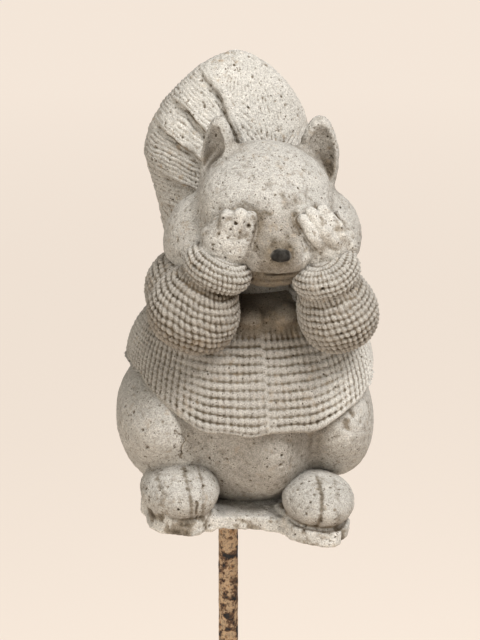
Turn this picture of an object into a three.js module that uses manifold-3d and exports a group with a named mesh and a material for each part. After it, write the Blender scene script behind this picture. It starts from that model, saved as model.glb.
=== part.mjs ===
// A cast-stone squirrel in a knitted jumper, its paws over its eyes, on a round steel garden stake.
// Millimetres, +Z up. The origin is on the stake's axis at the soil line, and the squirrel faces -Y.
// Left and right are the squirrel's own, so its right side lies towards -X.

import * as THREE from 'three';
import { LoftGeometry } from 'three/addons/geometries/LoftGeometry.js';
import { mergeVertices } from 'three/addons/utils/BufferGeometryUtils.js';
import Module from 'manifold-3d';

const wasm = await Module();
wasm.setup();

const { clamp, degToRad, lerp } = THREE.MathUtils;

// Stake rod, and the sleeve over its end in the casting's socket
const ROD_DIAMETER = 8;
const ROD_IN_SOIL = 130;
const ROD_ABOVE_SOIL = 100;
const ROD_CHAMFER = 1;
const SOCKET_DEPTH = 55;
const SLEEVE_WALL = 1.2;
const SLEEVE_CAP = 2;
const SEAT_GAP = 0.3;
const SOCKET_LEAD = 12;

// Where the stake enters the figure, from the middle of the belly
const SOCKET_ASIDE = -4.3;
const SOCKET_BEHIND = 8;

// Base slab, lower on the left, where that foot stands a step ahead
const BASE_WIDTH = 66;
const BASE_LENGTH = 80;
const BASE_CORNER = 24;
const BASE_THICKNESS = 5.5;
const BASE_EDGE = 1.2;
const BASE_SLANT = degToRad(6);
const BASE_ASIDE = -5.2;

// Feet
const FOOT_WIDTH = 29.5;
const FOOT_LENGTH = 38;
const FOOT_HEIGHT = 21;
const FOOT_SINK = 2;
const FEET_SPACING = 53;
const FEET_AHEAD = 33;
const LEFT_STEP = 6;
const TOES = 3;
const TOE_WIDTH = 20.5;
const TOE_STAGGER = 2;
const PAD_INSET = 4;
const PAD_PROUD = 0.8;

// Belly and haunches
const BELLY_WIDTH = 82;
const BELLY_LENGTH = 80;
const BELLY_HEIGHT = 87.6;
const BELLY_SINK = 5;
const BELLY_AHEAD = 3;
const HAUNCH_WIDTH = 38;
const HAUNCH_LENGTH = 64;
const HAUNCH_HEIGHT = 51;
const HAUNCH_SPAN = 100;
const HAUNCH_AHEAD = 6;
const HAUNCH_DROP = 8;
const HAUNCH_LEAN = 3;
const THIGH_WIDTH = 32;
const THIGH_LENGTH = 52;
const THIGH_HEIGHT = 38;
const THIGH_SPACING = 67;
const THIGH_ASIDE = -2;
const THIGH_AHEAD = 12;
const RIGHT_THIGH_DROP = 3.5;
const LEFT_THIGH_DROP = 6;

// Jumper, from its hem to the neck
const HEM_WIDTH = 92;
const HEM_ASIDE = 1.5;
const HEM_LENGTH = 84;
const HEM_AHEAD = 3;
const HEM_BELOW_WAIST = 3;
const HEM_RISE = 20;
const HEM_SHARPNESS = 3.4;
const HEM_SQUARENESS = 0.6;
const HEM_ROLL = 4.5;
const HEM_PROUD = 1;
const HEM_THICKNESS = 4.5;
const JUMPER_FULLNESS = 2.4;
const JUMPER_SLOPE = 0.5;
const HEM_FALL = 1.5;
const NECK_WIDTH = 46;
const NECK_LENGTH = 28;
const NECK_AHEAD = 3;
const COLLAR_WIDTH = 13.4;
const COLLAR_LENGTH = 14;
const COLLAR_ROLL = 9;
const COLLAR_DROP = 5;
const COLLAR_PROUD = 8.6;

// Shoulders and arms
const SHOULDERS_ABOVE_WAIST = 43;
const SHOULDERS_AHEAD = 8;
const SHOULDERS_ASIDE = 2.5;
const SHOULDER_SPAN = 82;
const UPPER_ARM_WIDTH = 30;
const UPPER_ARM_LENGTH = 44;
const UPPER_ARM_HEIGHT = 34;
const RIGHT_SLEEVE_WIDTH = 33;
const LEFT_SLEEVE_WIDTH = 29;
const SLEEVE_TAPER = 0.34;
const SLEEVE_PAST_WRIST = 10.5;
const ELBOW_SPACING = 65;
const ELBOW_AHEAD = 24;
const RIGHT_ELBOW_DROP = 12;
const LEFT_ELBOW_DROP = 15;
const CUFF_WIDTH = 27.6;
const CUFF_LENGTH = 12.5;
const CUFF_CROWN = 4.2;

// Paws, held against the face
const PAW_SPACING = 37;
const PAW_WIDTH = 21;
const PAW_HEIGHT = 27;
const PAW_THICKNESS = 17.5;
const RIGHT_PAW_DROP = 5.8;
const LEFT_PAW_DROP = 10.3;
const PAW_LEAN = degToRad(7);
const RIGHT_WRIST_DROP = 11.2;
const LEFT_WRIST_DROP = 12.7;
const RIGHT_WRIST_OUT = 4;
const LEFT_WRIST_OUT = 1;
const FINGERS = 3;
const FINGER_PITCH = 4.8;
const FINGER_PROUD = 5.6;
const RIGHT_FINGER_WIDTH = 6.4;
const LEFT_FINGER_WIDTH = 5.2;
const RIGHT_FINGER_LENGTH = 16;
const LEFT_FINGER_LENGTH = 20;
const RIGHT_FINGER_RISE = 4.5;
const LEFT_FINGER_RISE = 9.5;
const RIGHT_FINGER_IN = 3.6;
const LEFT_FINGER_IN = 0.9;
const RIGHT_FINGER_LEAN = degToRad(8);
const LEFT_FINGER_LEAN = degToRad(33);
const THUMB_LENGTH = 12;
const THUMB_WIDTH = 6;
const THUMB_INSET = 3;
const THUMB_RISE = 6;

// Head
const HEAD_ABOVE_SHOULDERS = 37;
const HEAD_ASIDE = 6.5;
const HEAD_AHEAD = 13;
const SKULL_WIDTH = 51;
const SKULL_LENGTH = 54;
const SKULL_HEIGHT = 45;
const CHEEK_SPAN = 76;
const CHEEK_WIDTH = 30;
const CHEEK_LENGTH = 38;
const CHEEK_HEIGHT = 34;
const CHEEK_DROP = 15;
const CHEEK_BACK = 5;
const CHEEK_TAPER = 0.1;
const BROW_WIDTH = 30;
const BROW_HEIGHT = 25;
const BROW_ASIDE = -13.5;
const BROW_AHEAD = 10;
const BROW_ABOVE_HEAD = 2;
const FACE_WIDTH = 44;
const FACE_LENGTH = 30;
const FACE_HEIGHT = 30;
const FACE_AHEAD = 16;
const FACE_DROP = 7;
const MUZZLE_WIDTH = 19;
const MUZZLE_LENGTH = 24;
const MUZZLE_HEIGHT = 13.5;
const MUZZLE_DROP = 13;
const MUZZLE_ASIDE = -1.5;
const LIP_WIDTH = 27;
const LIP_LENGTH = 25;
const LIP_HEIGHT = 13;
const LIP_BACK = 5;
const LIP_DROP = 5.3;
const MOUTH_WIDTH = 20;
const MOUTH_LENGTH = 14;
const MOUTH_HEIGHT = 1.3;
const MOUTH_AHEAD = 8;
const MOUTH_DROP = 5.6;
const CHIN_WIDTH = 25;
const CHIN_LENGTH = 22.5;
const CHIN_HEIGHT = 9;
const CHIN_BACK = 6;
const CHIN_DROP = 9.5;
const NAPE_WIDTH = 58;
const NAPE_LENGTH = 44;
const NAPE_HEIGHT = 58;
const NAPE_BACK = 4;
const NAPE_ABOVE_SHOULDERS = 9.7;
const NOSE_WIDTH = 8;
const NOSE_LENGTH = 6;
const NOSE_HEIGHT = 5;
const NOSE_PITCH = degToRad(20);

// Ears
const EAR_SPACING = 38.6;
const EAR_HEIGHT = 34;
const EAR_WIDTH = 15;
const EAR_THICKNESS = 10.5;
const EAR_RIM = 2.2;
const EAR_TIP = 4;
const EAR_WALL = 3.5;
const EAR_TAPER = 0.14;
const EAR_ABOVE_HEAD = 14.5;
const EAR_BACK = 7;
const EAR_ASIDE = 2.6;
const RIGHT_EAR_TURN = degToRad(-42);
const LEFT_EAR_TURN = degToRad(4);

// Tail, standing up behind the back
const TAIL_WIDTH = 66;
const TAIL_THICKNESS = 40;
const TAIL_ROOT_WIDTH = 30;
const TAIL_ABOVE_HEAD = 49.5;
const TAIL_CROWN = 41;
const CROWN_SQUARENESS = 1.7;
const CROWN_FULLNESS = 0.65;
const TAIL_FLARE = 1.3;
const TAIL_BEHIND = 31;
const TAIL_SWAY = 5;
const TAIL_TIP_ASIDE = 2;
const TAIL_FLUTES = 14;
const FLUTE_DEPTH = 1;
const LOCKS = 6;
const SMOOTH_LOCKS = 2;
const LOCK_BELOW_TIP = 28;
const LOCK_STEP = 13.5;
const LOCK_LENGTH = 26;
const LOCK_WIDTH = 14;
const LOCK_PROUD = 1.9;
const LOCK_REACH = 0.54;
const LOCK_TILT = degToRad(34);
const LOCK_REST = 5;
const CROWN_LOCK_LENGTH = 36;
const CROWN_LOCK_WIDTH = 16;
const CROWN_LOCK_TILT = degToRad(22);
const CROWN_LOCK_BELOW_TIP = 27;
const CROWN_LOCK_REACH = 0.08;

// Facets: the length of a side, and the most that a round form has around it
const FACET = 7.1;
const MOST_FACETS = 26;
const FEWEST_FACETS = 10;
const RINGS_PER_FACET = 0.55;
const BAR_FACETS = 28;
const SLAB_FACETS = 2;
const MERGE_DISTANCE = 1e-4;
const HEM_STEPS = 3;
const JUMPER_STEPS = 6;
const CUFF_STEPS = 6;
const DIGIT_STEPS = 3;
const TAIL_STEPS = 14;

const RIGHT = -1;
const LEFT = 1;
const FRONT = -1;
const BACK = 1;

const ARMS = [
  {
    side: RIGHT,
    sleeveWidth: RIGHT_SLEEVE_WIDTH,
    elbowDrop: RIGHT_ELBOW_DROP,
    pawDrop: RIGHT_PAW_DROP,
    wristDrop: RIGHT_WRIST_DROP,
    wristOut: RIGHT_WRIST_OUT,
    finger: {
      width: RIGHT_FINGER_WIDTH,
      length: RIGHT_FINGER_LENGTH,
      rise: RIGHT_FINGER_RISE,
      inward: RIGHT_FINGER_IN,
      lean: RIGHT_FINGER_LEAN,
    },
  },
  {
    side: LEFT,
    sleeveWidth: LEFT_SLEEVE_WIDTH,
    elbowDrop: LEFT_ELBOW_DROP,
    pawDrop: LEFT_PAW_DROP,
    wristDrop: LEFT_WRIST_DROP,
    wristOut: LEFT_WRIST_OUT,
    finger: {
      width: LEFT_FINGER_WIDTH,
      length: LEFT_FINGER_LENGTH,
      rise: LEFT_FINGER_RISE,
      inward: LEFT_FINGER_IN,
      lean: LEFT_FINGER_LEAN,
    },
  },
];

const stone = new THREE.MeshStandardMaterial({ color: 0xa8a59c, roughness: 0.95, metalness: 0 });
const dark = new THREE.MeshStandardMaterial({ color: 0x4a4a4a, roughness: 0.7, metalness: 0 });
const rust = new THREE.MeshStandardMaterial({ color: 0x8a6a4a, roughness: 0.85, metalness: 0.4 });
const plastic = new THREE.MeshStandardMaterial({ color: 0x2b2b2b, roughness: 0.5, metalness: 0 });

// A solid from a closed geometry: shared corners merged, faces without area left out
function solidOf(geometry) {
  const bare = new THREE.BufferGeometry();
  bare.setAttribute('position', geometry.attributes.position);
  bare.setIndex(geometry.index);
  const merged = mergeVertices(bare, MERGE_DISTANCE);
  const corners = merged.index.array;
  const faces = [];
  for (let i = 0; i < corners.length; i += 3) {
    const [a, b, c] = corners.slice(i, i + 3);
    if (a !== b && b !== c && c !== a) faces.push(a, b, c);
  }
  const vertProperties = new Float32Array(merged.attributes.position.array);
  const triVerts = new Uint32Array(faces);
  return new wasm.Manifold(new wasm.Mesh({ numProp: 3, vertProperties, triVerts }));
}

// A named mesh from a solid
function meshOf(name, solid, material) {
  const { vertProperties, triVerts } = solid.getMesh();
  const geometry = new THREE.BufferGeometry();
  geometry.setAttribute('position', new THREE.BufferAttribute(vertProperties, 3));
  geometry.setIndex(new THREE.BufferAttribute(triVerts, 1));
  geometry.computeVertexNormals();
  const mesh = new THREE.Mesh(geometry, material);
  mesh.name = name;
  return mesh;
}

function point(x, y, z) {
  return new THREE.Vector3(x, y, z);
}

function facetsAround(width) {
  return clamp(Math.round(Math.PI * width / FACET), FEWEST_FACETS, MOST_FACETS);
}

// A unit egg on +Z that narrows towards its top by the taper
function unitEgg(facets, taper) {
  const egg = new THREE.SphereGeometry(0.5, facets, Math.ceil(facets * RINGS_PER_FACET));
  egg.rotateX(Math.PI / 2);
  const points = egg.attributes.position;
  for (let i = 0; i < points.count; i++) {
    const narrowing = 1 - 2 * taper * points.getZ(i);
    points.setXYZ(i, points.getX(i) * narrowing, points.getY(i) * narrowing, points.getZ(i));
  }
  return egg;
}

// An upright egg of a width, length and height about its centre
function egg(centre, width, length, height, taper = 0) {
  const shape = unitEgg(facetsAround((width + length) / 2), taper);
  shape.scale(width, length, height);
  shape.translate(centre.x, centre.y, centre.z);
  return solidOf(shape);
}

// The frame of a limb that runs from one end to the other, its width lying across the front
function limbFrame(from, to) {
  const along = to.clone().sub(from).normalize();
  const across = point(0, 1, 0).cross(along).normalize();
  const through = along.clone().cross(across);
  const middle = from.clone().lerp(to, 0.5);
  return new THREE.Matrix4().makeBasis(across, through, along).setPosition(middle);
}

// An egg that lies between two ends
function limb(from, to, width, thickness, taper = 0) {
  const shape = unitEgg(facetsAround((width + thickness) / 2), taper);
  shape.scale(width, thickness, from.distanceTo(to));
  shape.applyMatrix4(limbFrame(from, to));
  return solidOf(shape);
}

// A bar with round ends between two points
function bar(from, to, width) {
  const length = from.distanceTo(to) - width;
  const shape = new THREE.CapsuleGeometry(width / 2, length, DIGIT_STEPS, FEWEST_FACETS);
  shape.rotateX(Math.PI / 2);
  shape.applyMatrix4(limbFrame(from, to));
  return solidOf(shape);
}

// A turned solid on +Z from a half profile of [radius, height] pairs
function turned(profile, facets) {
  const shape = new THREE.LatheGeometry(profile.map(([r, z]) => new THREE.Vector2(r, z)), facets);
  shape.rotateX(Math.PI / 2);
  return shape;
}

function joined(solids) {
  return solids.reduce((whole, solid) => whole.add(solid));
}

// Places in the figure, measured from the middle of the base's underside
const waist = point(0, -BELLY_AHEAD, BASE_THICKNESS + BELLY_HEIGHT / 2 - BELLY_SINK);
const shoulders = point(SHOULDERS_ASIDE, -SHOULDERS_AHEAD, waist.z + SHOULDERS_ABOVE_WAIST);
const neck = point(shoulders.x, -NECK_AHEAD, shoulders.z);
const head = point(HEAD_ASIDE, -HEAD_AHEAD, shoulders.z + HEAD_ABOVE_SHOULDERS);
const muzzle = point(head.x + MUZZLE_ASIDE, head.y - SKULL_LENGTH / 2, head.z - MUZZLE_DROP);
const nose = muzzle.clone().add(point(
  0,
  -Math.cos(NOSE_PITCH) * MUZZLE_LENGTH / 2,
  Math.sin(NOSE_PITCH) * MUZZLE_HEIGHT / 2,
));
const hem = point(waist.x + HEM_ASIDE, waist.y - HEM_AHEAD, waist.z - HEM_BELOW_WAIST);
const tailTop = head.z + TAIL_ABOVE_HEAD;
const tailWidest = tailTop - TAIL_CROWN;

// The slanted frame of the base, which the feet share
const slant = new THREE.Matrix4().makeRotationY(BASE_SLANT);

// A rounded rectangle
function roundedOutline(middle, width, length, corner) {
  const [x, y] = [width / 2 - corner, length / 2 - corner];
  const outline = new THREE.Shape();
  outline.absarc(middle.x + x, middle.y + y, corner, 0, Math.PI / 2);
  outline.absarc(middle.x - x, middle.y + y, corner, Math.PI / 2, Math.PI);
  outline.absarc(middle.x - x, middle.y - y, corner, Math.PI, Math.PI * 1.5);
  outline.absarc(middle.x + x, middle.y - y, corner, Math.PI * 1.5, Math.PI * 2);
  return outline;
}

// A slab with a rounded outline and softened edges, from a bottom to a top height
function slab(middle, width, length, corner, bottom, top) {
  const inset = 2 * BASE_EDGE;
  const outline = roundedOutline(middle, width - inset, length - inset, corner - BASE_EDGE);
  const shape = new THREE.ExtrudeGeometry(outline, {
    depth: top - bottom - inset,
    bevelThickness: BASE_EDGE,
    bevelSize: BASE_EDGE,
    bevelSegments: 1,
    curveSegments: SLAB_FACETS,
  });
  shape.translate(0, 0, bottom + BASE_EDGE);
  return solidOf(shape);
}

// A foot: toes that swell into each other, on a pad of their own
function foot(side) {
  const ahead = FEET_AHEAD + (side === LEFT ? LEFT_STEP : 0);
  const height = BASE_THICKNESS - FOOT_SINK + FOOT_HEIGHT / 2;
  const middle = point(BASE_ASIDE + side * FEET_SPACING / 2, -ahead, height);
  const pitch = (FOOT_WIDTH - TOE_WIDTH) / (TOES - 1);
  const padWidth = FOOT_WIDTH - PAD_INSET;
  const padLength = FOOT_LENGTH - PAD_INSET;
  const parts = [slab(middle, padWidth, padLength, padWidth / 2, -PAD_PROUD, BASE_THICKNESS + PAD_PROUD)];
  for (let i = 0; i < TOES; i++) {
    const aside = i * pitch + (TOE_WIDTH - FOOT_WIDTH) / 2;
    const outer = Math.abs(aside) / pitch * TOE_STAGGER;
    const toe = middle.clone().add(point(aside, outer / 2, -outer / 2));
    parts.push(egg(toe, TOE_WIDTH, FOOT_LENGTH - outer, FOOT_HEIGHT - outer));
  }
  return joined(parts);
}

function base() {
  const ground = slab(point(BASE_ASIDE, 0, 0), BASE_WIDTH, BASE_LENGTH, BASE_CORNER, 0, BASE_THICKNESS);
  return joined([ground, foot(RIGHT), foot(LEFT)]).transform(slant.toArray());
}

// A haunch, leaning to the right with the figure
function haunch(side) {
  const aside = side * (HAUNCH_SPAN - HAUNCH_WIDTH) / 2;
  const middle = point(aside, -HAUNCH_AHEAD, waist.z - HAUNCH_DROP);
  const up = point(-HAUNCH_LEAN, 0, HAUNCH_HEIGHT / 2);
  return limb(middle.clone().sub(up), middle.clone().add(up), HAUNCH_WIDTH, HAUNCH_LENGTH);
}

// A thigh, drawn up beside the belly
function thigh(side) {
  const drop = side === LEFT ? LEFT_THIGH_DROP : RIGHT_THIGH_DROP;
  const aside = THIGH_ASIDE + side * THIGH_SPACING / 2;
  const middle = waist.clone().add(point(aside, -THIGH_AHEAD, -drop));
  return egg(middle, THIGH_WIDTH, THIGH_LENGTH, THIGH_HEIGHT);
}

// One ring of the jumper: squarer than an ellipse, its front and back lower than its sides by the rise
function jumperRing(middle, width, length, rise, squareness = HEM_SQUARENESS) {
  const power = 2 / (2 + squareness);
  const squared = (share) => Math.sign(share) * Math.abs(share) ** power;
  const ring = [];
  for (let i = 0; i < MOST_FACETS; i++) {
    const turn = i / MOST_FACETS * 2 * Math.PI;
    const x = squared(Math.cos(turn));
    const y = squared(Math.sin(turn));
    const lift = rise * Math.abs(x) ** HEM_SHARPNESS;
    ring.push(middle.clone().add(point(x * width / 2, y * length / 2, lift)));
  }
  return ring;
}

// The jumper's body: closed below, rolled out at the hem, swelling over the belly and drawn in at the neck
function jumperBody() {
  const above = (height) => hem.clone().setZ(hem.z + height);
  const rings = [
    jumperRing(above(HEM_RISE), 0, 0, 0),
    jumperRing(hem, HEM_WIDTH - 2 * HEM_THICKNESS, HEM_LENGTH - 2 * HEM_THICKNESS, HEM_RISE),
  ];
  for (let i = 0; i <= HEM_STEPS; i++) {
    const turn = (i / HEM_STEPS - 0.5) * Math.PI;
    const proud = 2 * HEM_PROUD * Math.cos(turn);
    const roll = above(HEM_ROLL * (1 + Math.sin(turn)) / 2);
    rings.push(jumperRing(roll, HEM_WIDTH + proud, HEM_LENGTH + proud, HEM_RISE));
  }
  for (let i = 1; i <= JUMPER_STEPS; i++) {
    const t = i / JUMPER_STEPS;
    const narrowing = 1 - Math.sqrt(1 - t ** JUMPER_FULLNESS);
    const width = lerp(HEM_WIDTH, NECK_WIDTH, narrowing);
    const length = lerp(HEM_LENGTH, NECK_LENGTH, lerp(narrowing, t, JUMPER_SLOPE));
    const middle = above(HEM_ROLL).lerp(neck, t);
    const rise = HEM_RISE * (1 - t) ** HEM_FALL;
    rings.push(jumperRing(middle, width, length, rise, HEM_SQUARENESS * (1 - t)));
  }
  rings.push(jumperRing(neck.clone().setZ(neck.z + COLLAR_ROLL / 2), 0, 0, 0));
  return solidOf(new LoftGeometry(rings));
}

// Two soft ends of the collar below the chin
function collar() {
  const ends = [RIGHT, LEFT].map((side) => {
    const aside = muzzle.x + side * COLLAR_WIDTH / 2;
    const ahead = neck.y - NECK_LENGTH / 2 - COLLAR_PROUD;
    const middle = point(aside, ahead, neck.z - COLLAR_DROP);
    return egg(middle, COLLAR_WIDTH, COLLAR_LENGTH, COLLAR_ROLL);
  });
  return joined(ends);
}

// A direction that leans in from upright towards the middle of the face
function leaning(side, lean) {
  return point(-side * Math.sin(lean), 0, Math.cos(lean));
}

// An arm: upper arm, full sleeve, rolled cuff and paw
function arm({ side, sleeveWidth, elbowDrop, pawDrop, wristDrop, wristOut, finger }) {
  const shoulder = shoulders.clone().add(point(side * (SHOULDER_SPAN - UPPER_ARM_WIDTH) / 2, 0, 0));
  const elbow = shoulders.clone().add(point(side * ELBOW_SPACING / 2, -ELBOW_AHEAD, -elbowDrop));
  const paw = point(muzzle.x + side * PAW_SPACING / 2, muzzle.y, head.z - pawDrop);
  const wrist = paw.clone().add(point(side * wristOut, 0, -wristDrop));
  const past = wrist.clone().sub(elbow).setLength(SLEEVE_PAST_WRIST);
  const up = leaning(side, PAW_LEAN).multiplyScalar(PAW_HEIGHT / 2);

  const upperArm = egg(shoulder, UPPER_ARM_WIDTH, UPPER_ARM_LENGTH, UPPER_ARM_HEIGHT);
  const forearm = limb(elbow, wrist.clone().add(past), sleeveWidth, sleeveWidth, SLEEVE_TAPER);
  const palm = limb(paw.clone().sub(up), paw.clone().add(up), PAW_WIDTH, PAW_THICKNESS);
  return joined([upperArm, forearm, cuff(wrist, past), palm, digits(side, paw, finger)]);
}

// A cuff rolled round the wrist, its axis along the forearm
function cuff(wrist, along) {
  const half = CUFF_LENGTH / 2;
  const profile = [[0, -half]];
  for (let i = 0; i <= CUFF_STEPS; i++) {
    const turn = (i / CUFF_STEPS - 0.5) * Math.PI;
    profile.push([CUFF_WIDTH / 2 - CUFF_CROWN * (1 - Math.cos(turn)), half * Math.sin(turn)]);
  }
  profile.push([0, half]);
  const shape = turned(profile, facetsAround(CUFF_WIDTH));
  shape.applyMatrix4(limbFrame(wrist.clone().sub(along), wrist.clone().add(along)));
  return solidOf(shape);
}

// Fingers that lean in over the eye, and a thumb on the cheek
function digits(side, paw, { width, length, rise, inward, lean }) {
  const along = leaning(side, lean);
  const across = point(side * Math.cos(lean), 0, Math.sin(lean));
  const knuckles = paw.clone().add(point(-side * inward, -FINGER_PROUD, rise));
  const half = along.clone().multiplyScalar(length / 2);
  const parts = [];
  for (let i = 0; i < FINGERS; i++) {
    const middle = knuckles.clone().addScaledVector(across, (i - (FINGERS - 1) / 2) * FINGER_PITCH);
    parts.push(bar(middle.clone().sub(half), middle.clone().add(half), width));
  }
  const thumbTip = paw.clone().add(point(side * (PAW_WIDTH / 2 - THUMB_INSET), 0, THUMB_RISE));
  const thumbRoot = thumbTip.clone().add(point(-side * THUMB_INSET, 0, -THUMB_LENGTH));
  parts.push(bar(thumbRoot, thumbTip, THUMB_WIDTH));
  return joined(parts);
}

// The head: skull, brow, full cheeks, a broad face with its muzzle, lip and chin, and the nape behind
function skull() {
  const parts = [egg(head, SKULL_WIDTH, SKULL_LENGTH, SKULL_HEIGHT)];
  for (const side of [RIGHT, LEFT]) {
    const aside = side * (CHEEK_SPAN - CHEEK_WIDTH) / 2;
    const cheek = head.clone().add(point(aside, CHEEK_BACK, -CHEEK_DROP));
    parts.push(egg(cheek, CHEEK_WIDTH, CHEEK_LENGTH, CHEEK_HEIGHT, CHEEK_TAPER));
  }
  const brow = head.clone().add(point(BROW_ASIDE, -BROW_AHEAD, BROW_ABOVE_HEAD));
  const face = head.clone().add(point(0, -FACE_AHEAD, -FACE_DROP));
  const lip = muzzle.clone().add(point(0, LIP_BACK, -LIP_DROP));
  const chin = muzzle.clone().add(point(0, CHIN_BACK, -CHIN_DROP));
  const nape = point(shoulders.x, NAPE_BACK, shoulders.z + NAPE_ABOVE_SHOULDERS);
  parts.push(egg(brow, BROW_WIDTH, BROW_WIDTH, BROW_HEIGHT));
  parts.push(egg(face, FACE_WIDTH, FACE_LENGTH, FACE_HEIGHT));
  parts.push(egg(muzzle, MUZZLE_WIDTH, MUZZLE_LENGTH, MUZZLE_HEIGHT));
  parts.push(egg(lip, LIP_WIDTH, LIP_LENGTH, LIP_HEIGHT));
  parts.push(egg(chin, CHIN_WIDTH, CHIN_LENGTH, CHIN_HEIGHT));
  parts.push(egg(nape, NAPE_WIDTH, NAPE_LENGTH, NAPE_HEIGHT));
  return joined(parts);
}

// The line of the mouth, cut between the upper lip and the lower
function mouth() {
  const middle = muzzle.clone().add(point(0, -MOUTH_AHEAD, -MOUTH_DROP));
  return egg(middle, MOUTH_WIDTH, MOUTH_LENGTH, MOUTH_HEIGHT);
}

// An ear with a narrow tip, turned aside and hollowed at its front to a rim
function ear(side) {
  const outside = egg(point(0, 0, 0), EAR_WIDTH, EAR_THICKNESS, EAR_HEIGHT, EAR_TAPER);
  const front = point(0, -EAR_WALL, EAR_RIM / 2);
  const hollowWidth = EAR_WIDTH - 2 * EAR_RIM;
  const hollowHeight = EAR_HEIGHT - 2 * EAR_TIP;
  const hollow = egg(front, hollowWidth, EAR_THICKNESS, hollowHeight, EAR_TAPER);
  const place = new THREE.Matrix4().makeRotationZ(side === LEFT ? LEFT_EAR_TURN : RIGHT_EAR_TURN);
  const aside = head.x + EAR_ASIDE + side * EAR_SPACING / 2;
  place.setPosition(aside, head.y + EAR_BACK, head.z + EAR_ABOVE_HEAD);
  return outside.subtract(hollow).transform(place.toArray());
}

// The share of its full width that the tail has at a height
function tailFullness(height) {
  if (height > tailWidest) {
    const up = Math.min((height - tailWidest) / TAIL_CROWN, 1);
    return (1 - up ** CROWN_SQUARENESS) ** CROWN_FULLNESS;
  }
  const rise = ((height - BASE_THICKNESS) / (tailWidest - BASE_THICKNESS)) ** TAIL_FLARE;
  return lerp(TAIL_ROOT_WIDTH / TAIL_WIDTH, 1, rise);
}

// The middle of the tail at a height, swaying forward and a little aside towards its tip
function tailMiddle(height) {
  const up = clamp((height - tailWidest) / TAIL_CROWN, 0, 1) ** 2;
  return point(TAIL_TIP_ASIDE * up, TAIL_BEHIND - TAIL_SWAY * up, height);
}

// The tail: a bushy column fluted by its fur, narrowing to a rounded tip, with locks laid over it
function tail() {
  const facets = TAIL_FLUTES * 2;
  const rings = [];
  for (let i = 0; i <= TAIL_STEPS; i++) {
    const middle = tailMiddle(lerp(BASE_THICKNESS, tailTop, Math.sin(i / TAIL_STEPS * Math.PI / 2)));
    const fullness = tailFullness(middle.z);
    const ring = [];
    for (let j = 0; j < facets; j++) {
      const turn = j / facets * 2 * Math.PI;
      const flute = (j % 2) * FLUTE_DEPTH;
      const x = Math.cos(turn) * fullness * (TAIL_WIDTH / 2 - flute);
      const y = Math.sin(turn) * fullness * (TAIL_THICKNESS / 2 - flute);
      ring.push(point(middle.x + x, middle.y + y, middle.z));
    }
    rings.push(ring);
  }
  rings.unshift(rings[0].map(() => tailMiddle(BASE_THICKNESS)));
  const column = solidOf(new LoftGeometry(rings));
  const front = [...locks(RIGHT, FRONT), ...locks(LEFT, FRONT)];
  const back = [...locks(RIGHT, BACK), ...locks(LEFT, BACK)];
  return joined([column, ...front, ...back]);
}

// A point a depth below the tail's front or back, at a distance aside and a height
function inTail(aside, height, face, depth) {
  const middle = tailMiddle(height);
  const fullness = tailFullness(height);
  const across = Math.min(Math.abs(aside - middle.x) / (fullness * TAIL_WIDTH / 2), 1);
  const out = Math.sqrt(1 - across ** 2) * fullness * TAIL_THICKNESS / 2;
  return point(aside, middle.y + face * (out - depth), height);
}

// A lock that runs up and out along the tail, its middle at a share of the tail's width.
// It lies along the surface between two rests, one below its middle and one above.
function lock(side, face, height, reach, tilt, length, width) {
  const depth = width / 2 - LOCK_PROUD;
  const aside = tailMiddle(height).x + side * reach * tailFullness(height) * TAIL_WIDTH / 2;
  const out = side * Math.sin(tilt) * LOCK_REST;
  const up = Math.cos(tilt) * LOCK_REST;
  const below = inTail(aside - out, height - up, face, depth);
  const above = inTail(aside + out, height + up, face, depth);
  const half = above.sub(below).setLength(length / 2);
  const middle = inTail(aside, height, face, depth);
  return limb(middle.clone().sub(half), middle.clone().add(half), width, width);
}

// The locks on one side of the tail, one below the other. The crown is smooth at the left of its front.
function locks(side, face) {
  const smooth = side === LEFT && face === FRONT;
  const all = [];
  for (let i = smooth ? SMOOTH_LOCKS : 0; i < LOCKS; i++) {
    const height = tailTop - LOCK_BELOW_TIP - i * LOCK_STEP;
    all.push(lock(side, face, height, LOCK_REACH, LOCK_TILT, LOCK_LENGTH, LOCK_WIDTH));
  }
  if (!smooth) {
    const height = tailTop - CROWN_LOCK_BELOW_TIP;
    const length = CROWN_LOCK_LENGTH;
    all.push(lock(side, face, height, CROWN_LOCK_REACH, CROWN_LOCK_TILT, length, CROWN_LOCK_WIDTH));
  }
  return all;
}

// Radii that follow from the rod: the sleeve's bore, its outside and the socket around it
const rodRadius = ROD_DIAMETER / 2;
const boreRadius = rodRadius + SEAT_GAP;
const sleeveRadius = boreRadius + SLEEVE_WALL;
const socketRadius = sleeveRadius + SEAT_GAP;

// Heights that follow from the socket's closed end
const sleeveTop = ROD_ABOVE_SOIL + SOCKET_DEPTH - SEAT_GAP;
const sleeveInside = sleeveTop - SLEEVE_CAP;
const rodTop = sleeveInside - SEAT_GAP;

// Stake rod: a plain bar with chamfered ends, from below the soil to the closed end of its sleeve
function rod() {
  return solidOf(turned([
    [0, -ROD_IN_SOIL],
    [rodRadius - ROD_CHAMFER, -ROD_IN_SOIL],
    [rodRadius, -ROD_IN_SOIL + ROD_CHAMFER],
    [rodRadius, rodTop - ROD_CHAMFER],
    [rodRadius - ROD_CHAMFER, rodTop],
    [0, rodTop],
  ], BAR_FACETS));
}

// Sleeve: a thin cup turned over the end of the rod
function sleeve() {
  const opening = ROD_ABOVE_SOIL + BASE_THICKNESS;
  return solidOf(turned([
    [boreRadius, opening],
    [sleeveRadius, opening],
    [sleeveRadius, sleeveTop],
    [0, sleeveTop],
    [0, sleeveInside],
    [boreRadius, sleeveInside],
    [boreRadius, opening],
  ], BAR_FACETS));
}

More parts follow.
